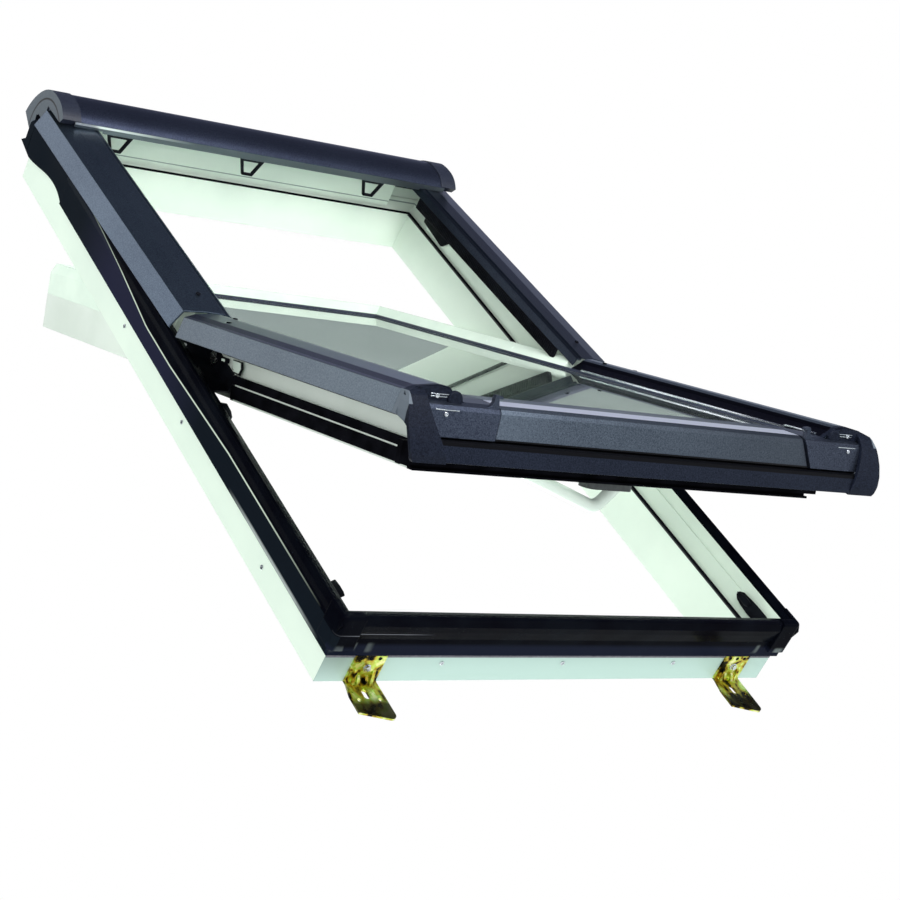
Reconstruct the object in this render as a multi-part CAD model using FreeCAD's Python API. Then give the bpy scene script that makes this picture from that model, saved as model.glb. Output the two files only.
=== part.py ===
import FreeCAD, Part
import math
import os

# Centre-pivot roof window, 740 by 1180 mm, shown open on a 45 degree roof.
# The window is drawn flat in its own frame: u runs across it, v up the slope and n out of the roof.
# The sash is drawn closed, then swung open about the pivot. All lengths are millimetres.

# Roof and opening
roof_pitch = 45.0
sash_open = 25.3

# Outer frame
frame_width = 740.0
frame_height = 1180.0
frame_face = 47.4
frame_depth = 100.0
reveal_edge = 34.6
reveal_drop = 37.0
reveal_depth = frame_depth - reveal_drop
rebate_ridge = 17.0
ridge_drop = 15.5
ridge_depth = frame_depth - ridge_drop
frame_gasket_thick = 1.6
frame_gasket_height = 4.0
pivot_v = frame_height / 2.0 - 54.0
pivot_n = frame_depth
mitre_room = 60.0
mitre_low = -60.0
mitre_high = 240.0

# Rubber skirt round the frame
skirt_thick = 3.0
skirt_standoff = 5.0
skirt_side_bulge = 0.4
skirt_sill_bulge = 4.0
skirt_roll = 8.0
skirt_bottom = 46.0
skirt_fold = 78.0
skirt_cap_width = 9.0
ear_start = frame_height - 162.0
ear_length = 200.0
ear_dip = 9.0
ear_hump = 9.0
boot_length = 24.0
boot_out = 9.5
boot_low = 58.0
boot_radius = 8.0

# Fixed covers on the upper half of the frame
cover_thick = 2.2
cover_overhang = 17.5
cover_inner = 67.0
cover_side_height = 35.0
cover_lip = 13.0
cover_foot_slant = 15.0
upper_cover_foot = pivot_v + 22.0
upper_cover_length = frame_height - 15.0 - upper_cover_foot
upper_cover_top = 155.0
upper_cover_fall = 1.9
cover_rail_start = 8.0
cover_rail_width = 22.0

# Hood over the head
hood_centre_v = frame_height - 32.5
hood_centre_n = frame_depth - 13.0
hood_thick = 2.5
hood_lip_drop = 12.3
hood_lip_thick = 3.0
hood_cap_end = 18.0
hood_cap_out = 5.0
hood_cap_proud = 1.5
hood_cap_lap = 8.0
hood_cap_depth = 44.0
hood_bearer_v = frame_height - 28.0
hood_bearer_width = 12.0
hood_bearer_inset = 82.0

# Rain clips under the hood
clip_count = 3
clip_first = 98.0
clip_spacing = 239.5
clip_top_width = 44.0
clip_foot_width = 19.0
clip_drop = 29.0
clip_bar = 3.6
clip_thick = 5.0

# Mounting brackets
bracket_width = 45.0
bracket_flare = 5.0
bracket_thick = 3.0
bracket_leg = 42.7
bracket_flange = 72.0
bracket_end_slant = 15.0
bracket_lower_inset = 64.0
bracket_upper_inset = 132.0
bracket_bend_radius = 3.0
bracket_corner_radius = 8.0
bracket_slot_width = 8.0
bracket_slot_length = 16.0
bracket_slot_row = 26.5
bracket_slot_shift = -3.5
bracket_hole_radius = 2.75
bracket_hole_spacing = 30.5
bracket_hole_shift = -2.0
bracket_hole_row = 36.0
bracket_leg_row = 38.6
bracket_leg_spacing = 13.4
bracket_bolt_row = 24.5
bracket_rib_width = 4.0
bracket_rib_up = 19.0
bracket_rib_out = 5.0
bracket_rib_height = 2.0
origin_shift = 2.0
origin_row = 50.0

# Sash profile
sash_gap = 3.6
sash_foot = 40.0
sash_head_gap = 65.0
sash_room_face = 54.0
sash_shoulder = 108.0
sash_face = 44.0
sash_ledge = 9.0
sash_base_width = 7.0
sash_base_top = 88.0
sash_ridge = 134.0
glass_top = 139.5
glass_pane = 4.0
glass_cavity = 16.0
glass_inset = 23.5
spacer_width = 9.0
bead_start = 23.0
bead_top = 143.5
trim_crest = 157.5
sash_seal_thick = 1.6
seal_split = 74.0
seal_line = 2.5
seal_front = 9.0
seal_lip = 11.5
seal_end = 24.0

# Sash side covers
sash_cover_start = pivot_v - 3.0
sash_cover_end = 1.0
sash_cover_low = 123.0
sash_cover_crest = 160.8
sash_cover_inner = 72.5
hinge_room = 23.0

# Bottom apron of the sash
apron_thick = 2.5
apron_foot_v = -26.5
apron_foot_n = 104.5
apron_front_v = -19.0
apron_front_n = 135.0
apron_crest = 145.0
lower_panel_top_v = -35.5
lower_panel_top_n = 100.5
lower_panel_foot_v = -40.0
lower_panel_foot_n = 77.0
apron_carrier_thick = 6.0
end_panel_length = 117.0
end_panel_proud = 3.0
joint_gap = 3.0
joint_slant = 8.0
joint_web = 2.0
joint_backing = 8.0
corner_cap_low = 75.0
corner_cap_thick = 5.0
corner_cap_inner = 39.0
panel_inset = 14.0
collar_back = -6.0
collar_plate = 4.0
hook_height = 16.0
hook_width = 18.0
hook_reach = 3.2
hook_front = -17.0
hook_thick = 6.0

# Pivot hinges
hinge_plate_length = 120.0
hinge_plate_thick = 3.0
hinge_plate_high = 112.0
hinge_ledge = 32.0
hinge_pin_radius = 8.0
hinge_gap = 0.3

# Locks and catches in the lower frame rebate
lock_foot = 10.0
lock_length = 78.0
lock_width = 16.0
lock_height = 23.0
catch_v = pivot_v - 111.0
catch_length = 36.0
catch_width = 11.0
catch_height = 21.0

# Handle on the bottom rail
handle_base_length = 74.0
handle_base_width = 30.0
handle_base_height = 12.0
handle_tube_radius = 8.5
handle_drop = 38.0
handle_reach = 132.0
handle_lean = 22.0

V = FreeCAD.Vector
X_AXIS = V(1, 0, 0)
origin_point = V(bracket_lower_inset + origin_shift, -origin_row, 0)
mid_u = frame_width / 2.0
sash_edge = frame_face + sash_gap
sash_head = frame_height - sash_head_gap
frame_rect = (0.0, frame_width, 0.0, frame_height)
sash_rect = (sash_edge, frame_width - sash_edge, sash_foot, sash_head)


def polygon_face(points):
    """Closed flat face through 3-D points."""
    wire = Part.makePolygon(points + [points[0]])
    return Part.Face(wire)


def run_along_v(section, v0, v1):
    """Bar along the slope from a list of (u, n) points."""
    face = polygon_face([V(u, v0, n) for u, n in section])
    return face.extrude(V(0, v1 - v0, 0))


def run_along_u(section, u0, u1):
    """Bar across the window from a list of (v, n) points."""
    face = polygon_face([V(u0, v, n) for v, n in section])
    return face.extrude(V(u1 - u0, 0, 0))


def set_back(line, thick):
    """The line moved to its right-hand side by the thickness, with mitred corners."""
    normals = []
    for (x0, y0), (x1, y1) in zip(line, line[1:]):
        length = math.hypot(x1 - x0, y1 - y0)
        normals.append(((y1 - y0) / length, (x0 - x1) / length))
    normals = [normals[0]] + normals + [normals[-1]]
    back = []
    for (x, y), (ax, ay), (bx, by) in zip(line, normals, normals[1:]):
        scale = thick / (1.0 + ax * bx + ay * by)
        back.append((x + (ax + bx) * scale, y + (ay + by) * scale))
    return back


def sheet_section(line, thick):
    """Section of folded sheet: the outer line and the same line set back by the thickness."""
    return line + set_back(line, thick)[::-1]


def beyond(line, thick, *far):
    """Section of all that lies outside the inner face of a folded sheet, as far as the given points."""
    return set_back(line, thick) + list(far)


def block(u0, u1, v0, v1, n0, n1):
    """Plain box between two corners."""
    return Part.makeBox(u1 - u0, v1 - v0, n1 - n0, V(u0, v0, n0))


def mirrored(shape):
    """The same piece on the other side of the window."""
    return shape.mirror(V(mid_u, 0, 0), X_AXIS)


def mitre_wedge(side, rect, reach):
    """Plan wedge that leaves one member of a mitred ring, for members up to reach wide."""
    u0, u1, v0, v1 = rect
    out = mitre_room
    plans = {"left": [(u0 - out, v0 - out), (u0 + reach, v0 + reach),
                      (u0 + reach, v1 - reach), (u0 - out, v1 + out)],
             "right": [(u1 + out, v0 - out), (u1 + out, v1 + out),
                       (u1 - reach, v1 - reach), (u1 - reach, v0 + reach)],
             "sill": [(u0 - out, v0 - out), (u1 + out, v0 - out),
                      (u1 - reach, v0 + reach), (u0 + reach, v0 + reach)],
             "head": [(u0 - out, v1 + out), (u0 + reach, v1 - reach),
                      (u1 - reach, v1 - reach), (u1 + out, v1 + out)]}
    face = polygon_face([V(u, v, mitre_low) for u, v in plans[side]])
    return face.extrude(V(0, 0, mitre_high - mitre_low))


def ring_member(section, side, reach, rect=frame_rect):
    """One mitred member of a ring, from a section of (distance in from the ring's outer edge, n)."""
    u0, u1, v0, v1 = rect
    out = mitre_room - 10.0
    if side == "left":
        bar = run_along_v([(u0 + d, n) for d, n in section], v0 - out, v1 + out)
    elif side == "right":
        bar = run_along_v([(u1 - d, n) for d, n in section], v0 - out, v1 + out)
    elif side == "sill":
        bar = run_along_u([(v0 + d, n) for d, n in section], u0 - out, u1 + out)
    else:
        bar = run_along_u([(v1 - d, n) for d, n in section], u0 - out, u1 + out)
    return bar.common(mitre_wedge(side, rect, reach))


def joined_ring(section, reach, rect, sides=("left", "sill", "right", "head")):
    """Mitred members of a ring, joined at the corners."""
    first, *others = [ring_member(section, side, reach, rect) for side in sides]
    return first.multiFuse(others).removeSplitter()


def swing(shape):
    """Swings a piece of the sash from closed to open about the pivot."""
    moved = shape.copy()
    moved.rotate(V(0, pivot_v, pivot_n), X_AXIS, -sash_open)
    return moved


def place(shape):
    """Tilts the window to the roof's pitch and puts the origin on the lower left bracket."""
    moved = shape.copy()
    moved.translate(origin_point.negative())
    moved.rotate(V(0, 0, 0), X_AXIS, roof_pitch)
    return moved


parts = {}


def keep(name, *shapes):
    """Stores a fixed piece under its node name."""
    placed = [place(shape) for shape in shapes]
    parts[name] = placed[0] if len(placed) == 1 else Part.makeCompound(placed)


def keep_sash(name, *shapes):
    """Stores a piece that belongs to the open sash."""
    keep(name, *[swing(shape) for shape in shapes])


# Outer frame: four mitred plastic members with a stepped rebate towards the sash
def frame_section():
    return [(0, 0), (frame_face, 0), (reveal_edge, reveal_depth), (reveal_edge - 4.0, reveal_depth),
            (rebate_ridge, ridge_depth), (rebate_ridge - 3.0, ridge_depth),
            (skirt_cap_width, frame_depth), (0, frame_depth)]


# Gasket strip that stands on the reveal's edge
def frame_gasket_section():
    top = reveal_depth + frame_gasket_height
    return [(reveal_edge - frame_gasket_thick, reveal_depth), (reveal_edge, reveal_depth),
            (reveal_edge + 0.4, top), (reveal_edge - 0.8, top)]


# Rubber skirt: folded strip that hugs the frame's top edge and flares away from its face
def skirt_section(bulge):
    s = skirt_standoff
    top = frame_depth + skirt_roll
    return [(skirt_cap_width, frame_depth), (skirt_cap_width, frame_depth + skirt_thick), (0, top - 1.0),
            (-s, top), (-s - 3.0, top - 1.5), (-s - 2.0 - bulge, frame_depth - 4.0),
            (-s - bulge, skirt_fold + 8.0), (-s - 0.4, skirt_fold - 6.0), (-s - 0.6, skirt_bottom),
            (-s - 0.6 + skirt_thick, skirt_bottom), (-s - 0.4 + skirt_thick, skirt_fold - 8.0),
            (0, skirt_fold + 4.0), (0, frame_depth)]


# The side skirts widen beside the hood, with a wavy lower edge and a pointed end past the head
def skirt_ear():
    tip = ear_start + ear_length
    low = skirt_bottom + 2.0
    top = frame_depth + skirt_thick
    wave = Part.BSplineCurve()
    wave.interpolate([V(0, ear_start, low), V(0, ear_start + 40.0, low + ear_hump),
                      V(0, ear_start + 90.0, low + 3.0), V(0, ear_start + 155.0, low - ear_dip)])
    edges = [wave.toShape(),
             Part.makeLine(V(0, ear_start + 155.0, low - ear_dip), V(0, tip, low - 2.0)),
             Part.makeLine(V(0, tip, low - 2.0), V(0, tip - 14.0, low + 8.0)),
             Part.makeLine(V(0, tip - 14.0, low + 8.0), V(0, tip - 14.0, top - 18.0)),
             Part.makeLine(V(0, tip - 14.0, top - 18.0), V(0, tip - 34.0, top)),
             Part.makeLine(V(0, tip - 34.0, top), V(0, ear_start, top)),
             Part.makeLine(V(0, ear_start, top), V(0, ear_start, low))]
    face = Part.Face(Part.Wire(edges))
    plate = face.extrude(V(-skirt_thick, 0, 0))
    plate.translate(V(-skirt_standoff + skirt_thick, 0, 0))
    return plate


# Moulded boots that wrap the skirt round the two lower corners
def skirt_boot():
    high = frame_depth + skirt_roll + 1.0
    low_v = -boot_out - 2.0
    lump = block(-boot_out, boot_length, low_v, boot_length, boot_low, high)
    corner = [e for e in lump.Edges if abs(e.CenterOfMass.x + boot_out) < 0.01
              and abs(e.CenterOfMass.y - low_v) < 0.01]
    lump = lump.makeFillet(boot_radius, corner)
    rim = [e for e in lump.Edges if abs(e.CenterOfMass.z - high) < 0.01
           and e.CenterOfMass.x < boot_length - 1.0 and e.CenterOfMass.y < boot_length - 1.0]
    lump = lump.makeFillet(boot_radius / 2.0, rim)
    return lump.cut(block(0, 99.0, 0, 99.0, 0, 199.0))


def make_frame():
    reach = frame_face + 2.0
    for side, name in [("left", "frame_left_stile"), ("right", "frame_right_stile"),
                       ("sill", "frame_sill"), ("head", "frame_head")]:
        keep(name, ring_member(frame_section(), side, reach))
    keep("reveal_gasket", joined_ring(frame_gasket_section(), reach, frame_rect))
    boot = skirt_boot()
    boots = boot.fuse(mirrored(boot))
    keep("skirt_boots", boot, mirrored(boot))
    band = ring_member(skirt_section(skirt_side_bulge), "left", reach)
    trim = block(-40.0, -skirt_standoff + skirt_thick, ear_start, frame_height + 60.0, 0, 200.0)
    side_band = band.cut(trim).fuse(skirt_ear()).cut(boots).removeSplitter()
    keep("skirt_sides", side_band, mirrored(side_band))
    keep("skirt_sill", ring_member(skirt_section(skirt_sill_bulge), "sill", reach).cut(boots))
    head_band = ring_member(skirt_section(skirt_side_bulge), "head", reach)
    keep("skirt_head", head_band.cut(side_band).cut(mirrored(side_band)))


# Fixed side covers of the upper half, folded aluminium that falls a little towards the head
def upper_cover_line():
    top = upper_cover_top
    rib = cover_inner - 10.5
    return [(-cover_overhang, top - cover_side_height), (-5.0, top - 7.0), (24.0, top - 1.6),
            (rib - 4.5, top), (rib - 2.5, top - 2.5), (rib, top - 2.5), (rib + 2.0, top - 0.5),
            (cover_inner - 5.0, top - 2.0), (cover_inner, top - cover_lip)]


def tilt_cover(shape):
    moved = shape.copy()
    moved.rotate(V(0, upper_cover_foot, upper_cover_top), X_AXIS, -upper_cover_fall)
    return moved


def below_cover():
    """Room taken up by the left upper cover and all that lies under it."""
    return tilt_cover(block(-80.0, cover_inner + 0.3, upper_cover_foot,
                            upper_cover_foot + upper_cover_length + 0.3, -60.0, upper_cover_top))


def make_upper_covers():
    head_end = upper_cover_foot + upper_cover_length
    line = upper_cover_line()
    cover = run_along_v(sheet_section(line, cover_thick), upper_cover_foot, head_end)
    low = upper_cover_foot - 1.0
    slant = polygon_face([V(-30.0, low, 0), V(cover_inner + 13.0, low, 0),
                          V(-30.0, upper_cover_foot + cover_foot_slant + 3.0, 0)])
    cover = tilt_cover(cover.cut(slant.extrude(V(0, 0, 300.0))))
    keep("upper_cover_left", cover)
    keep("upper_cover_right", mirrored(cover))
    above = beyond(line, cover_thick, (200.0, upper_cover_top - 60.0), (200.0, 400.0),
                   (-200.0, 400.0), (-200.0, upper_cover_top - 60.0))
    above = tilt_cover(run_along_v(above, upper_cover_foot - 40.0, head_end + 60.0))
    rail = block(cover_rail_start, cover_rail_start + cover_rail_width,
                 pivot_v + hinge_plate_length / 2.0 + 2.0, hood_centre_v - 60.0,
                 reveal_depth + frame_gasket_height + 2.0, upper_cover_top + 20.0)
    rail = rail.cut(above).cut(ring_member(frame_section(), "left", frame_face + 2.0))
    rail = rail.cut(ring_member(skirt_section(skirt_side_bulge), "left", frame_face + 2.0))
    keep("cover_rails", rail, mirrored(rail))


# Hood: rolled aluminium shell over the head with a straight front lip and moulded end caps
def hood_line():
    """Outer line of the hood in (v, n), from the front edge over the top to the back edge."""
    offsets = [(-44.5, 59.0), (-30.5, 69.0), (-14.0, 73.5), (0.0, 74.2), (22.5, 71.5),
               (41.5, 62.0), (60.5, 45.0), (76.5, 23.0), (86.5, -1.0)]
    return [(hood_centre_v + v, hood_centre_n + n) for v, n in offsets]


def hood_band(outer, inner, u0, u1):
    """Curved band between two depths below the hood's outer line."""
    edges = []
    ends = []
    for depth in (outer, inner):
        points = [V(u0, v, n) for v, n in set_back(hood_line(), depth)]
        for k in range(0, len(points) - 2, 2):
            edges.append(Part.Arc(points[k], points[k + 1], points[k + 2]).toShape())
        ends.append((points[0], points[-1]))
    edges.append(Part.makeLine(ends[0][0], ends[1][0]))
    edges.append(Part.makeLine(ends[0][1], ends[1][1]))
    return Part.Face(Part.Wire(Part.__sortEdges__(edges))).extrude(V(u1 - u0, 0, 0))


def make_hood():
    end = hood_cap_end
    shell = hood_band(0.0, hood_thick, end, frame_width - end)
    v, n = hood_line()[0]
    lip = block(end, frame_width - end, v, v + hood_lip_thick, n - hood_lip_drop, n + 2.0)
    lip = lip.cut(hood_band(-20.0, 0.8 * hood_thick, 0, frame_width))
    lip = lip.cut(below_cover()).cut(mirrored(below_cover()))
    keep("hood_shell", shell.fuse(lip).removeSplitter())
    cap = hood_end_cap(v)
    keep("hood_end_caps", cap, mirrored(cap))
    inset = hood_bearer_inset
    bearer = block(inset, frame_width - inset, hood_bearer_v, hood_bearer_v + hood_bearer_width,
                   reveal_depth, hood_centre_n + 90.0)
    bearer = bearer.cut(ring_member(frame_section(), "head", frame_face + 2.0))
    bearer = bearer.cut(ring_member(skirt_section(skirt_side_bulge), "head", frame_face + 2.0))
    bearer = bearer.cut(hood_band(-40.0, hood_thick, 0, frame_width))
    keep("hood_bearer", bearer)
    clips = []
    for i in range(clip_count):
        clips.append(rain_clip(clip_first + i * clip_spacing, v, n - hood_lip_drop))
    keep("hood_clips", *clips)


def hood_end_cap(front_v):
    """Moulded cap: a rim over the hood's end and a cheek that stands on the side cover."""
    rim = hood_band(-hood_cap_proud, 0.0, -hood_cap_out, hood_cap_end + hood_cap_lap)
    body = hood_band(0.0, 12.0, -hood_cap_out, hood_cap_end)
    cheek = hood_band(-hood_cap_proud, hood_cap_depth, -hood_cap_out, -hood_cap_out + 3.0)
    cap = rim.fuse(body).fuse(cheek)
    skirt_top = frame_depth + skirt_roll
    low = block(-80.0, 120.0, front_v - 40.0, frame_height + skirt_standoff + 4.0, 0, skirt_top)
    return cap.cut(below_cover()).cut(low).cut(skirt_ear()).removeSplitter()


def rain_clip(u, v, n):
    """Open trapezoid of moulded bar that hangs from the hood's lip."""
    def loop(top, foot, start, drop):
        return [(u - top / 2.0, n - start), (u + top / 2.0, n - start),
                (u + foot / 2.0, n - drop), (u - foot / 2.0, n - drop)]
    outer = loop(clip_top_width, clip_foot_width, 0.0, clip_drop)
    inner = loop(clip_top_width - 3.4 * clip_bar, clip_foot_width - 1.4 * clip_bar,
                 clip_bar, clip_drop - clip_bar)
    solid = run_along_v(outer, v, v + clip_thick)
    return solid.cut(run_along_v(inner, v - 1.0, v + clip_thick + 1.0))


# Steel angle brackets: one pressed part with a slanted end, a slot, holes and ribs across the bend
def bracket(centre_u):
    half = bracket_width / 2.0
    t = bracket_thick
    end = -bracket_flange
    flare = -half - bracket_flare
    outline = [(-half, 0), (half, 0), (half, end), (flare, end + bracket_end_slant), (flare, 0.4 * end),
               (-half, -2.0 * t)]
    flange = polygon_face([V(centre_u + u, v, 0) for u, v in outline]).extrude(V(0, 0, t))
    leg = block(centre_u - half, centre_u + half, -t, 0, 0, bracket_leg)
    plate = leg.fuse(flange).removeSplitter()
    bend = [e for e in plate.Edges if abs(e.CenterOfMass.y + t) < 0.01
            and abs(e.CenterOfMass.z - t) < 0.01 and e.Length > half]
    plate = plate.makeFillet(bracket_bend_radius, bend)
    corner = [e for e in plate.Edges if abs(e.CenterOfMass.x - centre_u - half) < 0.01
              and abs(e.CenterOfMass.y - end) < 0.01]
    plate = plate.makeFillet(bracket_corner_radius, corner)
    slot_u = centre_u + bracket_slot_shift
    slot_v = -bracket_slot_row
    reach = (bracket_slot_length - bracket_slot_width) / 2.0
    radius = bracket_slot_width / 2.0
    plate = plate.cut(block(slot_u - radius, slot_u + radius, slot_v - reach, slot_v + reach, -1, t + 1))
    for v in (slot_v - reach, slot_v + reach):
        plate = plate.cut(Part.makeCylinder(radius, t + 2, V(slot_u, v, -1)))
    for side in (-1, 1):
        u = centre_u + bracket_hole_shift + side * bracket_hole_spacing / 2.0
        plate = plate.cut(Part.makeCylinder(bracket_hole_radius, t + 2, V(u, -bracket_hole_row, -1)))
    leg_holes = [(side * bracket_leg_spacing, bracket_leg_row) for side in (-1, 0, 1)]
    for u, n in leg_holes + [(0, bracket_bolt_row)]:
        drill = Part.makeCylinder(bracket_hole_radius, t + 2, V(centre_u + u, 1, n), V(0, -1, 0))
        plate = plate.cut(drill)
    for u in (-13.2, -6.0, 6.0, 13.2):
        up = bracket_rib_up if abs(u) > 10.0 else 0.5 * bracket_rib_up
        plate = plate.fuse(rib_gusset(centre_u + u, up))
    return plate.removeSplitter()


def rib_gusset(u, up):
    """Pressed rib that runs from the flange across the bend and up the leg."""
    t = bracket_thick
    half = bracket_rib_width / 2.0
    out = t + bracket_rib_out
    high = bracket_rib_height
    face = polygon_face([V(u - half, -t + 0.5, t - 0.5), V(u - half, -out - high, t - 0.5),
                         V(u - half, -out, t + high), V(u - half, -t - high, t + 0.75 * up),
                         V(u - half, -t + 0.5, t + up)])
    return face.extrude(V(bracket_rib_width, 0, 0))


def make_brackets():
    low = bracket(bracket_lower_inset)
    keep("bracket_lower_left", low)
    keep("bracket_lower_right", bracket(frame_width - bracket_lower_inset))
    uppers = []
    for u in (bracket_upper_inset, frame_width - bracket_upper_inset):
        turned = bracket(u)
        turned.rotate(V(u, frame_height / 2.0, 0), V(0, 0, 1), 180.0)
        uppers.append(turned)
    keep("brackets_upper", *uppers)


# Sash frame: four mitred plastic members, with wider feet on the lower half of the stiles
def sash_section():
    glass_low = glass_top - 2.0 * glass_pane - glass_cavity
    pocket = glass_inset - 1.0
    return [(0, sash_room_face), (sash_face, sash_room_face), (sash_face, glass_low - 6.0),
            (sash_face - 4.0, glass_low), (pocket, glass_low), (pocket, sash_ridge),
            (sash_ledge, sash_ridge), (sash_ledge, sash_shoulder), (0, sash_shoulder)]


def sash_base():
    """Foot that widens the lower half of the left stile towards the frame."""
    return block(sash_edge - sash_base_width, sash_edge, sash_foot,
                 pivot_v - hinge_plate_length / 2.0 - 4.0, sash_room_face, sash_base_top)


# Glazing bead: a low dark gasket that lies on the glass along its edge
def bead_section():
    b = bead_start
    return [(b, glass_top), (b, bead_top), (b + 1.5, bead_top), (b + 4.0, glass_top + 1.5),
            (b + 4.5, glass_top)]


# Raised trim on the upper half of the sash
def trim_section():
    b = bead_start
    return [(0, sash_shoulder), (0, trim_crest - 15.0), (5.5, trim_crest), (9.0, trim_crest),
            (b, bead_top), (b, sash_ridge), (sash_ledge, sash_ridge), (sash_ledge, sash_shoulder)]


def make_sash():
    reach = sash_face + 4.0
    names = {"left": "sash_left_stile", "right": "sash_right_stile",
             "sill": "sash_bottom_rail", "head": "sash_top_rail"}
    members = {side: ring_member(sash_section(), side, reach, sash_rect) for side in names}
    members["left"] = members["left"].fuse(sash_base()).removeSplitter()
    members["right"] = members["right"].fuse(mirrored(sash_base())).removeSplitter()
    for side, name in names.items():
        keep_sash(name, members[side])
    keep_sash("glazing_bead", joined_ring(bead_section(), reach, sash_rect))
    trim = joined_ring(trim_section(), reach, sash_rect, ("left", "head", "right"))
    keep_sash("sash_trim", trim.cut(block(0, frame_width, -60.0, pivot_v + 14.0, 0, 300.0)))
    make_glass()


def make_glass():
    low = glass_top - 2.0 * glass_pane - glass_cavity
    inset = glass_inset
    u0, u1, v0, v1 = sash_rect
    u0, u1, v0, v1 = u0 + inset, u1 - inset, v0 + inset, v1 - inset
    keep_sash("glass_inner_pane", block(u0, u1, v0, v1, low, low + glass_pane))
    keep_sash("glass_outer_pane", block(u0, u1, v0, v1, glass_top - glass_pane, glass_top))
    s = spacer_width
    ring = block(u0 + 1.0, u1 - 1.0, v0 + 1.0, v1 - 1.0, low + glass_pane, glass_top - glass_pane)
    keep_sash("glass_spacer", ring.cut(block(u0 + s, u1 - s, v0 + s, v1 - s, low, glass_top)))


# Black seals: two bands along the lower stiles, and a deep profile with a lip across the bottom rail
def make_sash_seals():
    t = sash_seal_thick
    side = sash_edge - sash_base_width
    face = sash_room_face
    front = block(seal_end, frame_width - seal_end, sash_foot - seal_front, sash_foot,
                  face + 6.0, sash_base_top)
    end = side - t
    lip = block(end, frame_width - end, sash_foot - seal_lip, sash_foot, face, face + 3.0)
    neck = block(end, frame_width - end, sash_foot - 0.6 * seal_front, sash_foot, face, face + 7.0)
    profile = front.fuse(lip).fuse(neck)
    bands = []
    for low, high in ((face + 2.5, seal_split), (seal_split + seal_line, sash_base_top)):
        band = block(end, side, sash_foot - 1.0, pivot_v - hinge_plate_length / 2.0 - 6.0, low, high)
        bands += [band, mirrored(band)]
    keep_sash("sash_seals", profile.multiFuse(bands).removeSplitter())


# Aluminium side covers of the lower half of the sash
def sash_cover_line():
    crest = sash_cover_crest
    inner = sash_cover_inner
    return [(-19.0, sash_cover_low), (-10.5, crest - 9.8), (6.0, crest - 3.8), (33.0, crest),
            (45.0, crest - 0.8), (inner - 20.5, crest - 3.4), (inner - 15.5, crest - 8.2),
            (inner - 0.5, crest - 17.0), (inner, crest - 24.0)]


def make_sash_covers():
    line = sash_cover_line()
    cover = run_along_v(sheet_section(line, cover_thick), sash_cover_end, sash_cover_start)
    keep_sash("sash_cover_left", cover)
    keep_sash("sash_cover_right", mirrored(cover))
    above = beyond(line, cover_thick, (200.0, sash_cover_low), (200.0, 400.0), (-200.0, 400.0),
                   (-200.0, sash_cover_low))
    rail = run_along_v([(sash_edge, sash_shoulder), (sash_edge + sash_ledge, sash_shoulder),
                        (sash_edge + sash_ledge, sash_ridge), (sash_cover_inner - 1.0, sash_ridge),
                        (sash_cover_inner - 1.0, sash_cover_crest), (sash_edge, sash_cover_crest)],
                       sash_foot + bead_start, sash_cover_start - hinge_room)
    rail = rail.cut(run_along_v(above, 0.0, frame_height))
    keep_sash("sash_cover_rails", rail, mirrored(rail))


# Apron: aluminium panels across the sash's foot on one carrier
def upper_panel_line(proud):
    return [(apron_foot_v - proud, apron_foot_n), (apron_front_v - proud, apron_front_n),
            (apron_front_v + 3.0 - proud, apron_front_n + 5.0), (-8.0, apron_crest - 1.5),
            (20.0, apron_crest), (sash_foot + bead_start - 0.5, bead_top)]


def lower_panel_line():
    top = lower_panel_top_n
    return [(lower_panel_foot_v, lower_panel_foot_n), (lower_panel_top_v, top),
            (lower_panel_top_v + 2.5, top + 1.6), (apron_foot_v + 6.5, top + 2.4),
            (apron_foot_v + 6.5, sash_shoulder)]


def make_apron():
    t = apron_thick
    line = upper_panel_line(0.0)
    front = beyond(line, t, (200.0, 400.0), (-200.0, 400.0), (-200.0, apron_foot_n))
    carrier = block(sash_edge, frame_width - sash_edge, apron_foot_v, sash_foot + sash_ledge,
                    sash_shoulder, sash_shoulder + apron_carrier_thick)
    carrier = carrier.cut(run_along_u(front, 0, frame_width))
    keep_sash("apron_carrier", carrier)
    middle = run_along_u(sheet_section(line, t), 0, frame_width)
    middle = middle.common(slanted(joint_gap, frame_width)).common(mirrored(slanted(joint_gap, frame_width)))
    keep_sash("apron_upper_panel", middle)
    e = end_panel_length
    section = sheet_section(upper_panel_line(end_panel_proud), t)
    end_panel = run_along_u(section, panel_inset - 8.0, e + 20.0).common(slanted(-e, 0.0))
    end_panel = end_panel.cut(corner_cap_room()).cut(sash_cover_room())
    end_panel = end_panel.fuse(apron_hook(e)).fuse(apron_joint(e).cut(carrier)).removeSplitter()
    keep_sash("apron_end_left", end_panel)
    keep_sash("apron_end_right", mirrored(end_panel))
    lower = run_along_u(sheet_section(lower_panel_line(), t), panel_inset, frame_width - panel_inset)
    keep_sash("apron_lower_panel", lower.cut(corner_cap_room()).cut(mirrored(corner_cap_room())))


def slanted(start, end):
    """All between two lines that run beside the end panel's slanted end, from start to end past it."""
    e = end_panel_length
    foot = e - joint_slant
    return run_along_v([(foot + start, 0.0), (foot + end, 0.0), (foot + end, apron_foot_n),
                        (e + end, apron_front_n), (e + end, 300.0), (e + start, 300.0),
                        (e + start, apron_front_n), (foot + start, apron_foot_n)], -100.0, 100.0)


def apron_joint(u):
    """Web and backing strip of the end panel, which close the joint behind the middle panel."""
    outer = set_back(upper_panel_line(0.0), apron_thick + 0.3)
    strip = run_along_u(sheet_section(outer, joint_web), u - 30.0, u + 30.0)
    web = upper_panel_line(end_panel_proud) + set_back(outer, joint_web)[::-1]
    web = run_along_u(web, u - 30.0, u + 30.0).common(slanted(-joint_web, 0.0))
    return strip.common(slanted(-joint_web, joint_backing)).fuse(web)


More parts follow.
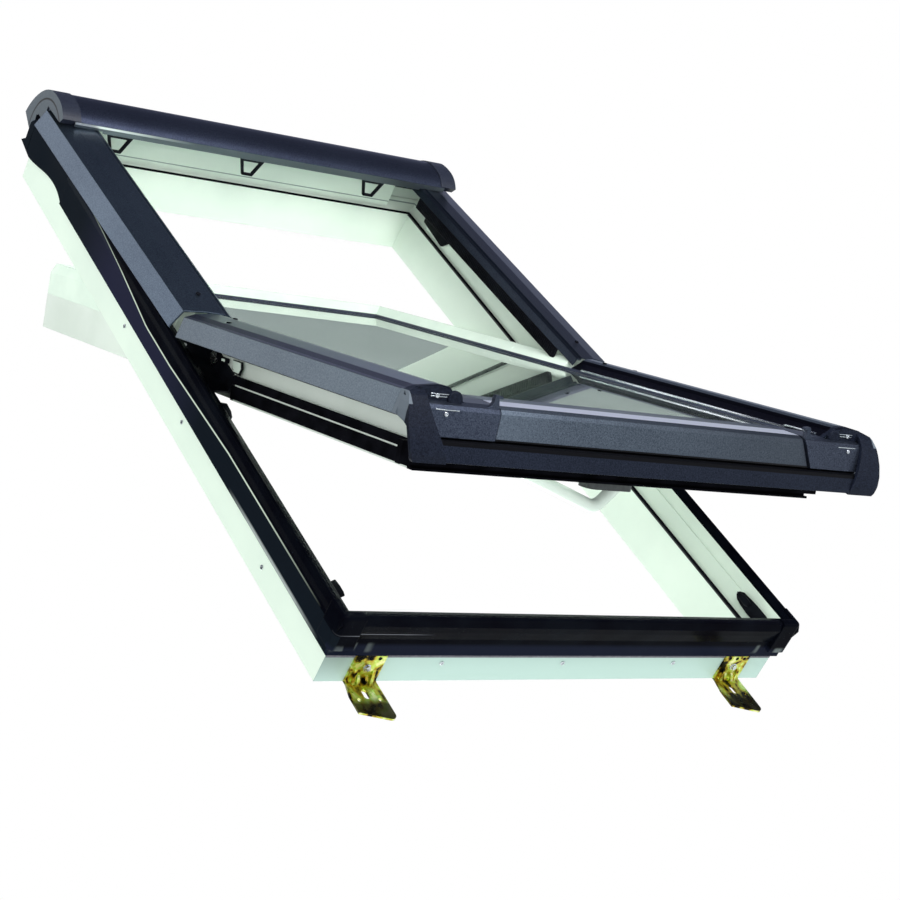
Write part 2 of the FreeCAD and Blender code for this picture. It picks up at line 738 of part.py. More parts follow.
def apron_hook(u):
    """Curved upright hook at the inner end of the end panel."""
    base = apron_crest - 4.5
    w = hook_width
    h = hook_height
    outline = [(u - w, base), (u, base), (u - 0.14 * w, base + 0.76 * h), (u + hook_reach, base + 0.73 * h),
               (u + hook_reach, base + 0.92 * h), (u, base + 0.97 * h), (u - 0.2 * w, base + h),
               (u - 0.36 * w, base + h), (u - 0.48 * w, base + 0.84 * h), (u - 0.48 * w, base + 0.5 * h),
               (u - 0.64 * w, base + 0.2 * h)]
    return run_along_v(outline, hook_front, hook_front + hook_thick)


def sash_cover_room():
    """Room kept for the left side cover over the apron's end."""
    line = sash_cover_line()
    section = [(-60.0, 60.0), (-60.0, line[0][1])] + line + [(sash_cover_inner + 0.3, 60.0)]
    return run_along_v(section, collar_back - collar_plate, 200.0)


# Moulded corner caps: a curved front shell, a side cheek and a collar that closes the side cover
def cap_profile():
    """Outer line of the front shell in (v, n), from its foot up and over to the side cover."""
    return [(-39.0, corner_cap_low), (-40.5, 84.0), (-40.5, 90.5), (-38.7, 101.0), (-34.4, 114.4),
            (-29.5, 126.5), (-24.5, 137.6), (-17.0, 148.0), (-8.0, 155.0), (sash_cover_end, 158.0)]


def cap_outline():
    """Front view of the shell in (u, n): the outer edge, and the slanted edge towards the apron."""
    return [(-6.8, corner_cap_low), (-10.1, 78.5), (-13.4, 87.9), (-16.1, 102.4), (-17.3, 117.6),
            (-16.5, 130.0), (-14.6, 140.0), (-10.5, 151.0), (6.0, 157.0), (12.0, 157.8), (13.3, 150.0),
            (13.6, 142.0), (15.6, 132.0), (19.0, 122.0), (23.8, 110.0), (30.0, 97.0), (35.0, 87.0),
            (corner_cap_inner, corner_cap_low)]


def corner_cap():
    profile = cap_profile()
    outline = run_along_v(cap_outline(), -60.0, sash_cover_end)
    shell = run_along_u(sheet_section(profile, corner_cap_thick), -30.0, corner_cap_inner + 10.0)
    back = set_back(profile, corner_cap_thick - 1.0)
    cheek = [back[4], back[5], back[6], back[7], (collar_back + 1.0, 146.0),
             (collar_back + 1.0, sash_cover_low), (-22.0, sash_cover_low - 5.0)]
    side = run_along_u(cheek, -30.0, -11.5)
    shell = shell.fuse(side).common(outline)
    line = sash_cover_line()
    collar = run_along_v(sheet_section(line, cover_thick), collar_back, sash_cover_end)
    dome = [(-4.0, 140.0), (-4.0, 152.6), (8.0, 156.5), (33.0, 158.6), (41.0, 158.0), (50.0, 155.5),
            (62.0, 146.5), (67.0, 140.0)]
    plate = run_along_v(dome, collar_back - collar_plate, collar_back + 2.0)
    return shell.fuse(collar).fuse(plate).removeSplitter()


def corner_cap_room():
    """Room taken up by the left corner cap and all in front of it."""
    profile = cap_profile()
    back = set_back(profile, corner_cap_thick + 0.2)
    section = back + [(sash_cover_end, 300.0), (-200.0, 300.0), (-200.0, 0.0), (back[0][0], 0.0)]
    solid = run_along_u(section, -60.0, 60.0)
    outline = cap_outline()
    inner = outline[8:]
    edge = [(-60.0, 0.0), (-60.0, 300.0), (12.3, 300.0)] + [(u + 0.3, n) for u, n in inner[1:]]
    edge = edge + [(corner_cap_inner + 0.3, 0.0)]
    return solid.common(run_along_v(edge, -200.0, 20.0))


def make_corner_caps():
    cap = corner_cap()
    keep_sash("corner_cap_left", cap)
    keep_sash("corner_cap_right", mirrored(cap))


# Pivot hinges: a plate screwed on the stile's top edge, and a sash plate with the pin
def make_hinges():
    t = hinge_plate_thick
    half = hinge_plate_length / 2.0
    face = sash_edge - hinge_gap - t
    ledge = block(face + t - hinge_ledge, face + t, pivot_v - half, pivot_v + half,
                  ridge_depth, ridge_depth + t)
    cheek = block(face, face + t, pivot_v - half, pivot_v + half, ridge_depth, hinge_plate_high)
    boss = Part.makeCylinder(hinge_pin_radius + 6.0, t, V(face, pivot_v, pivot_n), X_AXIS)
    plate = ledge.fuse(cheek).fuse(boss)
    bore = Part.makeCylinder(hinge_pin_radius + hinge_gap, t + 2.0, V(face - 1.0, pivot_v, pivot_n), X_AXIS)
    plate = plate.cut(bore).removeSplitter()
    keep("hinge_frame_plates", plate, mirrored(plate))
    pin = Part.makeCylinder(hinge_pin_radius, sash_edge - face + 2.0, V(face - 2.0, pivot_v, pivot_n), X_AXIS)
    head = Part.makeCylinder(hinge_pin_radius + 1.2, 2.0, V(face - 4.0, pivot_v, pivot_n), X_AXIS)
    pin = pin.fuse(head).removeSplitter()
    keep_sash("hinge_pins", pin, mirrored(pin))


# Locks at the foot of both stiles' rebates, with a catch higher up
def lock_outline():
    """Side view of the lock case: a raised block near its upper end, a dip, and a low foot."""
    v, n = lock_foot, reveal_depth
    length, height = lock_length, lock_height
    return [(v, n), (v + length, n), (v + length, n + height * 0.32),
            (v + length * 0.86, n + height), (v + length * 0.65, n + height),
            (v + length * 0.61, n + height * 0.34), (v + length * 0.36, n + height * 0.34),
            (v + length * 0.3, n + height * 0.62), (v, n + height * 0.62)]


def catch_outline():
    """Side view of the catch: two steps that rise up the slope."""
    v, n = catch_v, reveal_depth
    length, height = catch_length, catch_height
    return [(v, n), (v + length, n), (v + length, n + height), (v + length * 0.7, n + height),
            (v + length * 0.66, n + height * 0.72), (v, n + height * 0.55)]


def make_locks():
    for name, outline, width in (("lock_keepers", lock_outline(), lock_width),
                                 ("side_catches", catch_outline(), catch_width)):
        solid = run_along_u(outline, rebate_ridge - 2.0, rebate_ridge - 2.0 + width)
        for side in ("left", "sill"):
            solid = solid.cut(ring_member(frame_section(), side, frame_face + 2.0))
        keep(name, solid, mirrored(solid))


# Handle under the bottom rail: a moulded base and a bent tube
def make_handle():
    v = sash_foot + sash_face / 2.0 + 4.0
    top = sash_room_face
    base = block(mid_u - handle_base_length / 2.0, mid_u + handle_base_length / 2.0,
                 v - handle_base_width / 2.0, v + handle_base_width / 2.0, top - handle_base_height, top)
    upright = [e for e in base.Edges if abs(e.Vertexes[0].Z - e.Vertexes[-1].Z) > 1.0]
    base = base.makeFillet(handle_base_width * 0.35, upright)
    keep_sash("handle_base", base)
    r = handle_tube_radius
    n_low = top - handle_drop
    u_right = mid_u + handle_base_length / 2.0 - handle_lean
    stops = [V(u_right, v, top - handle_base_height), V(mid_u - 12.0, v, n_low),
             V(mid_u - handle_reach, v, top)]
    bow = bent_tube(stops, r, 2.6 * r)
    bow = bow.common(block(0, frame_width, v - 40, v + 40, n_low - 40, top))
    bow = bow.cut(base)
    keep_sash("handle_bow", bow)


def bent_tube(stops, radius, bend):
    """Round bar through three stops, with an arc at the middle one."""
    a, b, c = stops
    d0 = (a - b).normalize()
    d1 = (c - b).normalize()
    half_turn = (math.pi - d0.getAngle(d1)) / 2.0
    tangent = bend * math.tan(half_turn)
    p0 = b + d0 * tangent
    p1 = b + d1 * tangent
    bisector = (d0 + d1).normalize()
    centre = b + bisector * (bend / math.cos(half_turn))
    middle = centre - bisector * bend
    start = a + d0 * (2.0 * radius)
    finish = c + d1 * (2.0 * radius)
    path = Part.Wire([Part.makeLine(start, p0), Part.Arc(p0, middle, p1).toShape(),
                      Part.makeLine(p1, finish)])
    ring = Part.Wire(Part.makeCircle(radius, start, d0.negative()))
    return path.makePipeShell([ring], True, False)


def build():
    make_frame()
    make_upper_covers()
    make_hood()
    make_brackets()
    make_sash()
    make_sash_seals()
    make_sash_covers()
    make_apron()
    make_corner_caps()
    make_hinges()
    make_locks()
    make_handle()
    os.makedirs("parts", exist_ok=True)
    for name, shape in parts.items():
        shape.exportStep("parts/" + name + ".step")
    total = sum(shape.Volume for shape in parts.values())
    print(len(parts), "nodes, solid volume", round(total / 1e9, 5), "m3")
    for name, shape in parts.items():
        if not shape.isValid() or not shape.Solids:
            print("not valid:", name)


build()
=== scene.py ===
import bpy
from math import radians
from mathutils import Matrix, Vector


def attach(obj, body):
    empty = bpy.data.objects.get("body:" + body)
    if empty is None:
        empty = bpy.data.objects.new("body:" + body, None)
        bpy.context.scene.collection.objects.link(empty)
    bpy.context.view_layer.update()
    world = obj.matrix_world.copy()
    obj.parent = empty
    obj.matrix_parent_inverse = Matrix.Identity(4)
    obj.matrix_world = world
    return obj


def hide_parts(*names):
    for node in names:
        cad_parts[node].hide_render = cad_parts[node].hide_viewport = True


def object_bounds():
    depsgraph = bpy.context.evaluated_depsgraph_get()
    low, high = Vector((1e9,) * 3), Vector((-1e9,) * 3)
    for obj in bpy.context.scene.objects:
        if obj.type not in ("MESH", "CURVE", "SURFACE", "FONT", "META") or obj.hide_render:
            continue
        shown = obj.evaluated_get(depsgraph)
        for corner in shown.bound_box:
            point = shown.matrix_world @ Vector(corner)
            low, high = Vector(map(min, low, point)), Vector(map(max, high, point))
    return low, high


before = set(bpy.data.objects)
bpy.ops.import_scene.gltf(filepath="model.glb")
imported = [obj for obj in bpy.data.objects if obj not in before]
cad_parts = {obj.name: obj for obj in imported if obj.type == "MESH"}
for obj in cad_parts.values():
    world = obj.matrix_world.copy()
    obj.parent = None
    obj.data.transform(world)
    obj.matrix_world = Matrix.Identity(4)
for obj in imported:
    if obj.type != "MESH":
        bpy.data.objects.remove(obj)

cad_box = [list(corner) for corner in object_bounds()]

# Camera: low at the left in front of the window, looking slightly up along the open sash.
# Its place, turn and lens are fitted to the photograph.
camera_data = bpy.data.cameras.new("camera")
camera_data.lens = 76.749
camera_data.sensor_width = 36.0
camera = bpy.data.objects.new("camera", camera_data)
bpy.context.scene.collection.objects.link(camera)
look_right = Vector((0.80432, -0.59348, -0.0293))
look_forward = Vector((0.5907, 0.79326, 0.1477))
look_up = Vector((-0.06441, -0.1361, 0.9886))
look = Matrix((look_right, look_up, -look_forward)).transposed().to_4x4()
camera.matrix_world = Matrix.Translation((-1.29761, -1.90396, -0.03429)) @ look
bpy.context.scene.camera = camera


# Outer frame: four welded members of white window plastic, extruded with a stepped rebate.
# The extrusion leaves faint lines along each member, and the matt skin is slightly uneven in tone.
# Painted shade greys the sill's face, most at its left corner. A step in the head is greyer, and a black
# line lies under the gasket.
roof_slope = radians(45.0)
frame_corner = (-0.066, 0.05, 0.0)
half_width = 0.370
pivot_up, pivot_out = 0.536, 0.1
sash_swing = radians(-25.3)


def new_finish(name, roughness, metallic=0.0, edge=0.0006, sash=False):
    """A material with softened edges, its shader, and coordinates that run across, up the slope, and out.

    On the sash they turn with it, and are measured from its pivot.
    """
    material = bpy.data.materials.new(name)
    material.use_nodes = True
    tree = material.node_tree
    shader = tree.nodes["Principled BSDF"]
    shader.inputs["Roughness"].default_value = roughness
    shader.inputs["Metallic"].default_value = metallic
    place = tree.nodes.new("ShaderNodeTexCoord")
    slope = tree.nodes.new("ShaderNodeMapping")
    slope.vector_type = "TEXTURE"
    slope.inputs["Rotation"].default_value = (roof_slope, 0.0, 0.0)
    tree.links.new(place.outputs["Object"], slope.inputs["Vector"])
    if sash:
        swing = tree.nodes.new("ShaderNodeMapping")
        swing.vector_type = "TEXTURE"
        swing.inputs["Location"].default_value = (0.0, frame_corner[1] + pivot_up, pivot_out)
        swing.inputs["Rotation"].default_value = (sash_swing, 0.0, 0.0)
        tree.links.new(slope.outputs["Vector"], swing.inputs["Vector"])
        slope = swing
    if edge:
        rounded = tree.nodes.new("ShaderNodeBevel")
        rounded.inputs["Radius"].default_value = edge
        tree.links.new(rounded.outputs["Normal"], shader.inputs["Normal"])
    return material, tree, shader, slope.outputs["Vector"]


def speckle(tree, coords, scale, stretch=(1.0, 1.0, 1.0), detail=4.0):
    """Noise drawn out along the axes by the stretch."""
    squeeze = tree.nodes.new("ShaderNodeMapping")
    squeeze.inputs["Scale"].default_value = stretch
    noise = tree.nodes.new("ShaderNodeTexNoise")
    noise.inputs["Scale"].default_value = scale
    noise.inputs["Detail"].default_value = detail
    tree.links.new(coords, squeeze.inputs["Vector"])
    tree.links.new(squeeze.outputs["Vector"], noise.inputs["Vector"])
    return noise.outputs["Fac"]


def tint(tree, shader, factor, dark, light, low=0.3, high=0.7):
    """Colour that runs from dark to light with the factor."""
    ramp = tree.nodes.new("ShaderNodeValToRGB")
    ramp.color_ramp.elements[0].position = low
    ramp.color_ramp.elements[1].position = high
    ramp.color_ramp.elements[0].color = (*dark, 1.0)
    ramp.color_ramp.elements[1].color = (*light, 1.0)
    tree.links.new(factor, ramp.inputs["Fac"])
    tree.links.new(ramp.outputs["Color"], shader.inputs["Base Color"])


def vary_gloss(tree, shader, factor, low, high):
    """Roughness that wanders between two values."""
    spread = tree.nodes.new("ShaderNodeMapRange")
    spread.inputs["To Min"].default_value = low
    spread.inputs["To Max"].default_value = high
    tree.links.new(factor, spread.inputs["Value"])
    tree.links.new(spread.outputs["Result"], shader.inputs["Roughness"])


def relief(tree, shader, height, depth, strength):
    """Bump of that depth in metres, laid over any bump that is already there."""
    bump = tree.nodes.new("ShaderNodeBump")
    bump.inputs["Strength"].default_value = strength
    bump.inputs["Distance"].default_value = depth
    tree.links.new(height, bump.inputs["Height"])
    if shader.inputs["Normal"].is_linked:
        tree.links.new(shader.inputs["Normal"].links[0].from_socket, bump.inputs["Normal"])
    tree.links.new(bump.outputs["Normal"], shader.inputs["Normal"])


def part_of(tree, coords, way):
    """One of the pattern's coordinates: across, up the slope, or out."""
    split = tree.nodes.new("ShaderNodeSeparateXYZ")
    tree.links.new(coords, split.inputs["Vector"])
    return split.outputs[{"across": "X", "up": "Y", "out": "Z"}[way]]


def calc(tree, operation, first, second):
    """Result of a sum; the second value may be a number or another node's output."""
    step = tree.nodes.new("ShaderNodeMath")
    step.operation = operation
    tree.links.new(first, step.inputs[0])
    if isinstance(second, float):
        step.inputs[1].default_value = second
    else:
        tree.links.new(second, step.inputs[1])
    return step.outputs[0]


def inward(tree, coords):
    """Distance in from the nearer side edge of the outer frame, the same on both sides."""
    off_middle = calc(tree, "SUBTRACT", part_of(tree, coords, "across"), half_width + frame_corner[0])
    off_middle = calc(tree, "ABSOLUTE", off_middle, 0.0)
    return calc(tree, "ADD", calc(tree, "MULTIPLY", off_middle, -1.0), half_width)


def between(tree, value, start, end, soft=0.0004):
    """One from start to end and nothing outside, with soft steps."""
    steps = []
    for low, high in ((start, start + soft), (end, end - soft)):
        step = tree.nodes.new("ShaderNodeMapRange")
        step.inputs["From Min"].default_value = low
        step.inputs["From Max"].default_value = high
        tree.links.new(value, step.inputs["Value"])
        steps.append(step.outputs["Result"])
    return calc(tree, "MULTIPLY", steps[0], steps[1])


def within(tree, coords, **spans):
    """One inside all the spans, given in metres across, up, out or inward, with how soft they end."""
    mask = None
    for way, span in spans.items():
        distance = inward(tree, coords) if way == "inward" else part_of(tree, coords, way)
        step = between(tree, distance, *span)
        mask = step if mask is None else calc(tree, "MULTIPLY", mask, step)
    return mask


# Sockets of a mixing node that take and give colours, by number.
first_colour, second_colour, mixed_colour = 6, 7, 2


def paint_over(tree, shader, mask, colour, strength=1.0):
    """Another colour where the mask is one, mixed with the first one at less than full strength."""
    if strength < 1.0:
        mask = calc(tree, "MULTIPLY", mask, strength)
    both = tree.nodes.new("ShaderNodeMix")
    both.data_type = "RGBA"
    tree.links.new(mask, both.inputs["Factor"])
    tree.links.new(shader.inputs["Base Color"].links[0].from_socket, both.inputs[first_colour])
    both.inputs[second_colour].default_value = (*colour, 1.0)
    tree.links.new(both.outputs[mixed_colour], shader.inputs["Base Color"])


def finish_nodes(material, *names):
    """Puts the finish on nodes of the window's frame."""
    for name in names:
        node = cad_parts[name]
        if not node.material_slots:
            node.data.materials.append(material)
        for place in node.material_slots:
            place.material = material


frame_white, tree, shader, coords = new_finish("white frame plastic", 0.34)
tint(tree, shader, speckle(tree, coords, 9.0), (0.76, 0.87, 0.77), (0.82, 0.93, 0.82))
vary_gloss(tree, shader, speckle(tree, coords, 60.0), 0.28, 0.42)
relief(tree, shader, speckle(tree, coords, 300.0, (1.0, 0.02, 1.0), 2.0), depth=0.00012, strength=0.5)
sill_face = (0.0494, 0.0506)
# Painted shade: the sill's face is greyer, and darker still at its left corner.
paint_over(tree, shader, within(tree, coords, up=sill_face), (0.53, 0.71, 0.655))
left_corner_shade = within(tree, coords, up=sill_face, across=(-1.0, 0.005, 0.045), out=(-0.01, 2.0, 0.06))
paint_over(tree, shader, left_corner_shade, (0.16, 0.20, 0.19), strength=0.8)
head_step = within(tree, coords, out=(0.0774, 0.0798), up=(1.15, 1.25))
paint_over(tree, shader, head_step, (0.26, 0.33, 0.30))
under_gasket = within(tree, coords, inward=(0.0335, 0.0365), out=(0.0604, 0.0640))
paint_over(tree, shader, under_gasket, (0.004, 0.004, 0.006))
finish_nodes(frame_white, "frame_left_stile", "frame_right_stile", "frame_sill", "frame_head",
             "hood_bearer", "cover_rails")

# Screws in the outer faces of the frame: domed plated heads with a sunk recess, set flush at the works.
# A grey strip along the sill's face under the rubber skirt is painted shadow, cast by the skirt.
roof = Matrix.Rotation(roof_slope, 4, "X") @ Matrix.Translation(frame_corner)
frame_width = 740.0
leftward, rightward, downhill = (-1.0, 0.0, 0.0), (1.0, 0.0, 0.0), (0.0, -1.0, 0.0)
smooth_below = radians(35.0)


def select_faces(piece, wanted):
    """Edit mode with only those faces selected whose middle and normal are wanted."""
    bpy.ops.object.mode_set(mode="EDIT")
    bpy.ops.mesh.select_mode(type="FACE")
    bpy.ops.mesh.select_all(action="DESELECT")
    bpy.ops.object.mode_set(mode="OBJECT")
    for face in piece.data.polygons:
        face.select = wanted(face.center, face.normal)
    bpy.ops.object.mode_set(mode="EDIT")


def round_screw(name, radius, height, sunk=0.5):
    """Domed screw head in millimetres on the origin, its middle sunk by that share of its height."""
    radius, height = radius / 1000.0, height / 1000.0
    bpy.ops.object.select_all(action="DESELECT")
    bpy.ops.mesh.primitive_cylinder_add(vertices=24, radius=radius, depth=height,
                                        location=(0.0, 0.0, height / 2.0))
    screw = bpy.context.object
    screw.name = name
    bpy.ops.object.transform_apply(location=True, rotation=False, scale=False)
    dome, rim, recess_wall, recess_depth = 0.4 * height, 0.35 * radius, 0.08 * radius, sunk * height
    select_faces(screw, lambda middle, normal: normal.z > 0.9)
    bpy.ops.mesh.bevel(offset=dome, segments=3)
    select_faces(screw, lambda middle, normal: normal.z > 0.99)
    bpy.ops.mesh.inset(thickness=rim)
    bpy.ops.mesh.inset(thickness=recess_wall)
    bpy.ops.transform.translate(value=(0.0, 0.0, -recess_depth))
    bpy.ops.object.mode_set(mode="OBJECT")
    bpy.ops.object.shade_smooth_by_angle(angle=smooth_below)
    return screw


def facing(spot, way=(0.0, 0.0, 1.0)):
    """Place at a spot in millimetres across, up and out, with the piece's top turned that way."""
    turn = Vector((0.0, 0.0, 1.0)).rotation_difference(Vector(way)).to_matrix().to_4x4()
    return Matrix.Translation(Vector(spot) / 1000.0) @ turn


def settle(piece, place):
    """Moves the mesh itself to its place; in a mirrored place its faces are turned outwards again."""
    piece.data.transform(place)
    if place.determinant() < 0.0:
        piece.data.flip_normals()


def fit(piece, place, material):
    """Sets the piece in its place, gives it its finish and ties it to the window."""
    settle(piece, place)
    piece.data.materials.clear()
    piece.data.materials.append(material)
    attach(piece, "root")


def fit_copies(model, places, material):
    """A copy with its own mesh at each place; the model goes away."""
    for number, place in enumerate(places):
        piece = model.copy()
        piece.data = model.data.copy()
        piece.name = f"{model.name}_{number + 1}"
        bpy.context.scene.collection.objects.link(piece)
        fit(piece, place, material)
    bpy.data.meshes.remove(model.data)


def round_edges(piece, edge, segments):
    """Rounds all edges of the active piece by that many millimetres."""
    rounding = piece.modifiers.new("rounding", "BEVEL")
    rounding.width = edge / 1000.0
    rounding.segments = segments
    bpy.ops.object.modifier_apply(modifier="rounding")


def strip(name, low, high, edge, sunk=0.0):
    """Straight strip between two corners in millimetres, with rounded edges and a sunk upper face."""
    low, high = Vector(low) / 1000.0, Vector(high) / 1000.0
    bpy.ops.object.select_all(action="DESELECT")
    bpy.ops.mesh.primitive_cube_add(size=1.0, location=(low + high) / 2.0, scale=high - low)
    piece = bpy.context.object
    piece.name = name
    bpy.ops.object.transform_apply(location=True, rotation=False, scale=True)
    round_edges(piece, edge, 2)
    select_faces(piece, lambda middle, normal: normal.z > 0.99)
    bpy.ops.mesh.inset(thickness=edge / 1000.0)
    bpy.ops.transform.translate(value=(0.0, 0.0, -sunk / 1000.0))
    bpy.ops.object.mode_set(mode="OBJECT")
    bpy.ops.object.shade_smooth_by_angle(angle=smooth_below)
    return piece


screw_steel, tree, shader, coords = new_finish("plated screw steel", 0.25, metallic=1.0, edge=0.0002)
tint(tree, shader, speckle(tree, coords, 500.0), (0.55, 0.58, 0.62), (0.78, 0.80, 0.84))
vary_gloss(tree, shader, speckle(tree, coords, 300.0), 0.15, 0.35)
relief(tree, shader, speckle(tree, coords, 1500.0), depth=0.00004, strength=0.5)
side_spots = [(710.0, 29.0), (477.0, 30.6), (183.0, 23.0)]
sill_spots = [(174.4, 29.0), (368.0, 29.0), (562.0, 29.0)]
places = [roof @ facing((0.0, up, out), leftward) for up, out in side_spots]
places += [roof @ facing((frame_width, up, out), rightward) for up, out in side_spots]
places += [roof @ facing((across, 0.0, out), downhill) for across, out in sill_spots]
fit_copies(round_screw("frame_screw", radius=3.2, height=1.4), places, screw_steel)

# Painted shadow: a grey strip on the sill's face under the skirt.
skirt_shadow_grey, tree, shader, coords = new_finish("grey painted shadow strip", 0.8, edge=0.0)
tint(tree, shader, speckle(tree, coords, 500.0), (0.10, 0.095, 0.12), (0.20, 0.19, 0.23))
vary_gloss(tree, shader, speckle(tree, coords, 200.0), 0.7, 0.9)
relief(tree, shader, speckle(tree, coords, 900.0), depth=0.0003, strength=0.8)
skirt_shadow_strip = strip("sill_shadow_strip", (0.5, -0.9, 38.5), (frame_width - 0.5, 0.0, 48.0), edge=0.3)
fit(skirt_shadow_strip, roof, skirt_shadow_grey)

# Gasket on the reveal's edge and the sash's black seals: extruded rubber pushed into grooves.
# The skin is satin with fine lines along the strip.
seal_black, tree, shader, coords = new_finish("black seal rubber", 0.42)
tint(tree, shader, speckle(tree, coords, 40.0), (0.002, 0.002, 0.003), (0.006, 0.006, 0.009))
shader.inputs["IOR"].default_value = 1.04
vary_gloss(tree, shader, speckle(tree, coords, 25.0), 0.4, 0.6)
relief(tree, shader, speckle(tree, coords, 420.0, (1.0, 0.03, 1.0), 1.0), depth=0.0002, strength=0.6)
finish_nodes(seal_black, "reveal_gasket", "sash_seals")

# Rubber skirt round the frame with moulded corner boots: soft black sheet, clipped over the frame's edge.
# It waves a little along its length. At the sides a painted sheen lies below the fold and a painted
# highlight along it.
# On the front the low roll has a painted sheen, with painted glints on creases near the corners and at
# the fold.
skirt_black, tree, shader, coords = new_finish("black skirt rubber", 0.3, edge=0.002)
tint(tree, shader, speckle(tree, coords, 18.0), (0.001, 0.001, 0.003), (0.003, 0.004, 0.007))
shader.inputs["IOR"].default_value = 1.07
side_face, front_face = (-0.02, -0.002), (-0.1, 0.0495)
dip = calc(tree, "MULTIPLY", within(tree, coords, up=(0.39, 0.90, 0.21)), 0.010)
rise = calc(tree, "MULTIPLY", within(tree, coords, up=(0.70, 3.0, 0.25)), 0.019)
below_fold = calc(tree, "SUBTRACT", calc(tree, "ADD", part_of(tree, coords, "out"), dip), rise)
# Painted sheen: the side face below the fold is navy, lighter in its upper part.
side_sheen = calc(tree, "MULTIPLY", within(tree, coords, inward=side_face),
            between(tree, below_fold, 0.0, 0.0800, 0.0008))
paint_over(tree, shader, side_sheen, (0.006, 0.009, 0.014))
upper_sheen = calc(tree, "MULTIPLY", side_sheen, within(tree, coords, up=(0.48, 0.98, 0.14)))
paint_over(tree, shader, upper_sheen, (0.016, 0.017, 0.038))
# Painted reflection along the side's lower edge.
low_edge_reflection = within(tree, coords, inward=side_face, up=(0.07, 0.36, 0.08), out=(0.04, 0.0520, 0.003))
paint_over(tree, shader, low_edge_reflection, (0.34, 0.37, 0.37))
# Painted highlight along the fold.
fold_highlight = calc(tree, "MULTIPLY", within(tree, coords, inward=side_face, up=(0.09, 0.98, 0.20)),
                 between(tree, below_fold, 0.0794, 0.0826, 0.0010))
paint_over(tree, shader, fold_highlight, (0.58, 0.66, 0.56))
# Painted sheen on the front's low roll.
low_roll_sheen = within(tree, coords, up=front_face, out=(0.0, 0.066, 0.006))
paint_over(tree, shader, low_roll_sheen, (0.010, 0.013, 0.028), strength=0.8)
# Painted glints on creases near the front corners.
crease_glints = between(tree, speckle(tree, coords, 50.0, (1.0, 1.0, 0.3), 1.0), 0.50, 2.0, 0.14)
crease_glints = calc(tree, "MULTIPLY", crease_glints, within(tree, coords, inward=(-0.008, 0.058, 0.018),
                                               out=(0.050, 0.0675, 0.004), up=front_face))
paint_over(tree, shader, crease_glints, (0.20, 0.23, 0.23))
# Painted glint at the fold on the front.
glint = within(tree, coords, up=front_face, out=(0.0806, 0.0822), across=(-0.08, 0.07, 0.04))
paint_over(tree, shader, glint, (0.14, 0.145, 0.17))
vary_gloss(tree, shader, speckle(tree, coords, 14.0), 0.16, 0.3)
relief(tree, shader, speckle(tree, coords, 16.0, (1.0, 0.35, 1.0), 1.0), depth=0.004, strength=0.35)
relief(tree, shader, speckle(tree, coords, 700.0), depth=0.00008, strength=0.4)
finish_nodes(skirt_black, "skirt_boots", "skirt_sides", "skirt_sill", "skirt_head")

# Covers of the upper half: folded aluminium sheet with a baked grey coating that has a fine sparkle.
# They are screwed to plastic rails under them. The right one is painted darker as shade, for it faces
# away from the light.
def coated_metal(name, dark, light, roughness, coat, sash=False):
    """Grey coating on aluminium: slow shifts of tone, fine grain and sparkle."""
    material, tree, shader, coords = new_finish(name, roughness, metallic=0.9, edge=0.0012, sash=sash)
    grain = speckle(tree, coords, 620.0, detail=3.0)
    slow = calc(tree, "MULTIPLY", speckle(tree, coords, 7.0), 0.25)
    tint(tree, shader, calc(tree, "ADD", slow, grain), dark, light, low=0.4, high=0.8)
    vary_gloss(tree, shader, grain, roughness - 0.06, roughness + 0.1)
    shader.inputs["Coat Weight"].default_value = coat
    shader.inputs["Coat Roughness"].default_value = 0.16
    relief(tree, shader, speckle(tree, coords, 1100.0, detail=1.0), depth=0.00012, strength=0.5)
    return material, tree, shader, coords


cover_grey, tree, shader, coords = coated_metal(
    "grey coated aluminium", (0.037, 0.053, 0.086), (0.108, 0.146, 0.196),
    roughness=0.32, coat=0.1)
# Painted shade: the right cover is darker.
paint_over(tree, shader, within(tree, coords, across=(0.4, 2.0)), (0.010, 0.012, 0.026), strength=0.65)
finish_nodes(cover_grey, "upper_cover_left", "upper_cover_right")

# Black moulded parts: the rails under the sash covers, the hood's clips, the catches in the rebates, the
# apron's carrier and the hinge plates. They are of one plastic, screwed to the members or clipped in.
rail_black, tree, shader, coords = new_finish("black moulded plastic", 0.45)
tint(tree, shader, speckle(tree, coords, 50.0), (0.003, 0.003, 0.005), (0.008, 0.009, 0.013))
shader.inputs["IOR"].default_value = 1.12
vary_gloss(tree, shader, speckle(tree, coords, 120.0), 0.38, 0.55)
relief(tree, shader, speckle(tree, coords, 1600.0), depth=0.0001, strength=0.5)
finish_nodes(rail_black, "sash_cover_rails", "hood_clips", "lock_keepers", "side_catches",
             "apron_carrier", "hinge_frame_plates")

# Locks at the foot of the rebates: moulded black cases with a raised striker and rounded rims.
# Pale zinc screws hold them at both ends. A small black peg stands in each rebate higher up.
def cut_plate(name, outline, depth, edge):
    """Plate of that outline in millimetres, as thick as the depth along X, with rounded edges."""
    bpy.ops.object.select_all(action="DESELECT")
    bpy.ops.mesh.primitive_circle_add(vertices=len(outline), radius=0.01, fill_type="NGON")
    plate = bpy.context.object
    plate.name = name
    for corner, (along, up) in zip(plate.data.vertices, outline):
        corner.co = (0.0, along / 1000.0, up / 1000.0)
    bpy.ops.object.mode_set(mode="EDIT")
    bpy.ops.mesh.select_all(action="SELECT")
    bpy.ops.mesh.extrude_region_move(TRANSFORM_OT_translate={"value": (depth / 1000.0, 0.0, 0.0)})
    bpy.ops.mesh.select_all(action="SELECT")
    bpy.ops.mesh.normals_make_consistent(inside=False)
    bpy.ops.object.mode_set(mode="OBJECT")
    round_edges(plate, edge, 3)
    bpy.ops.object.shade_smooth_by_angle(angle=smooth_below)
    return plate


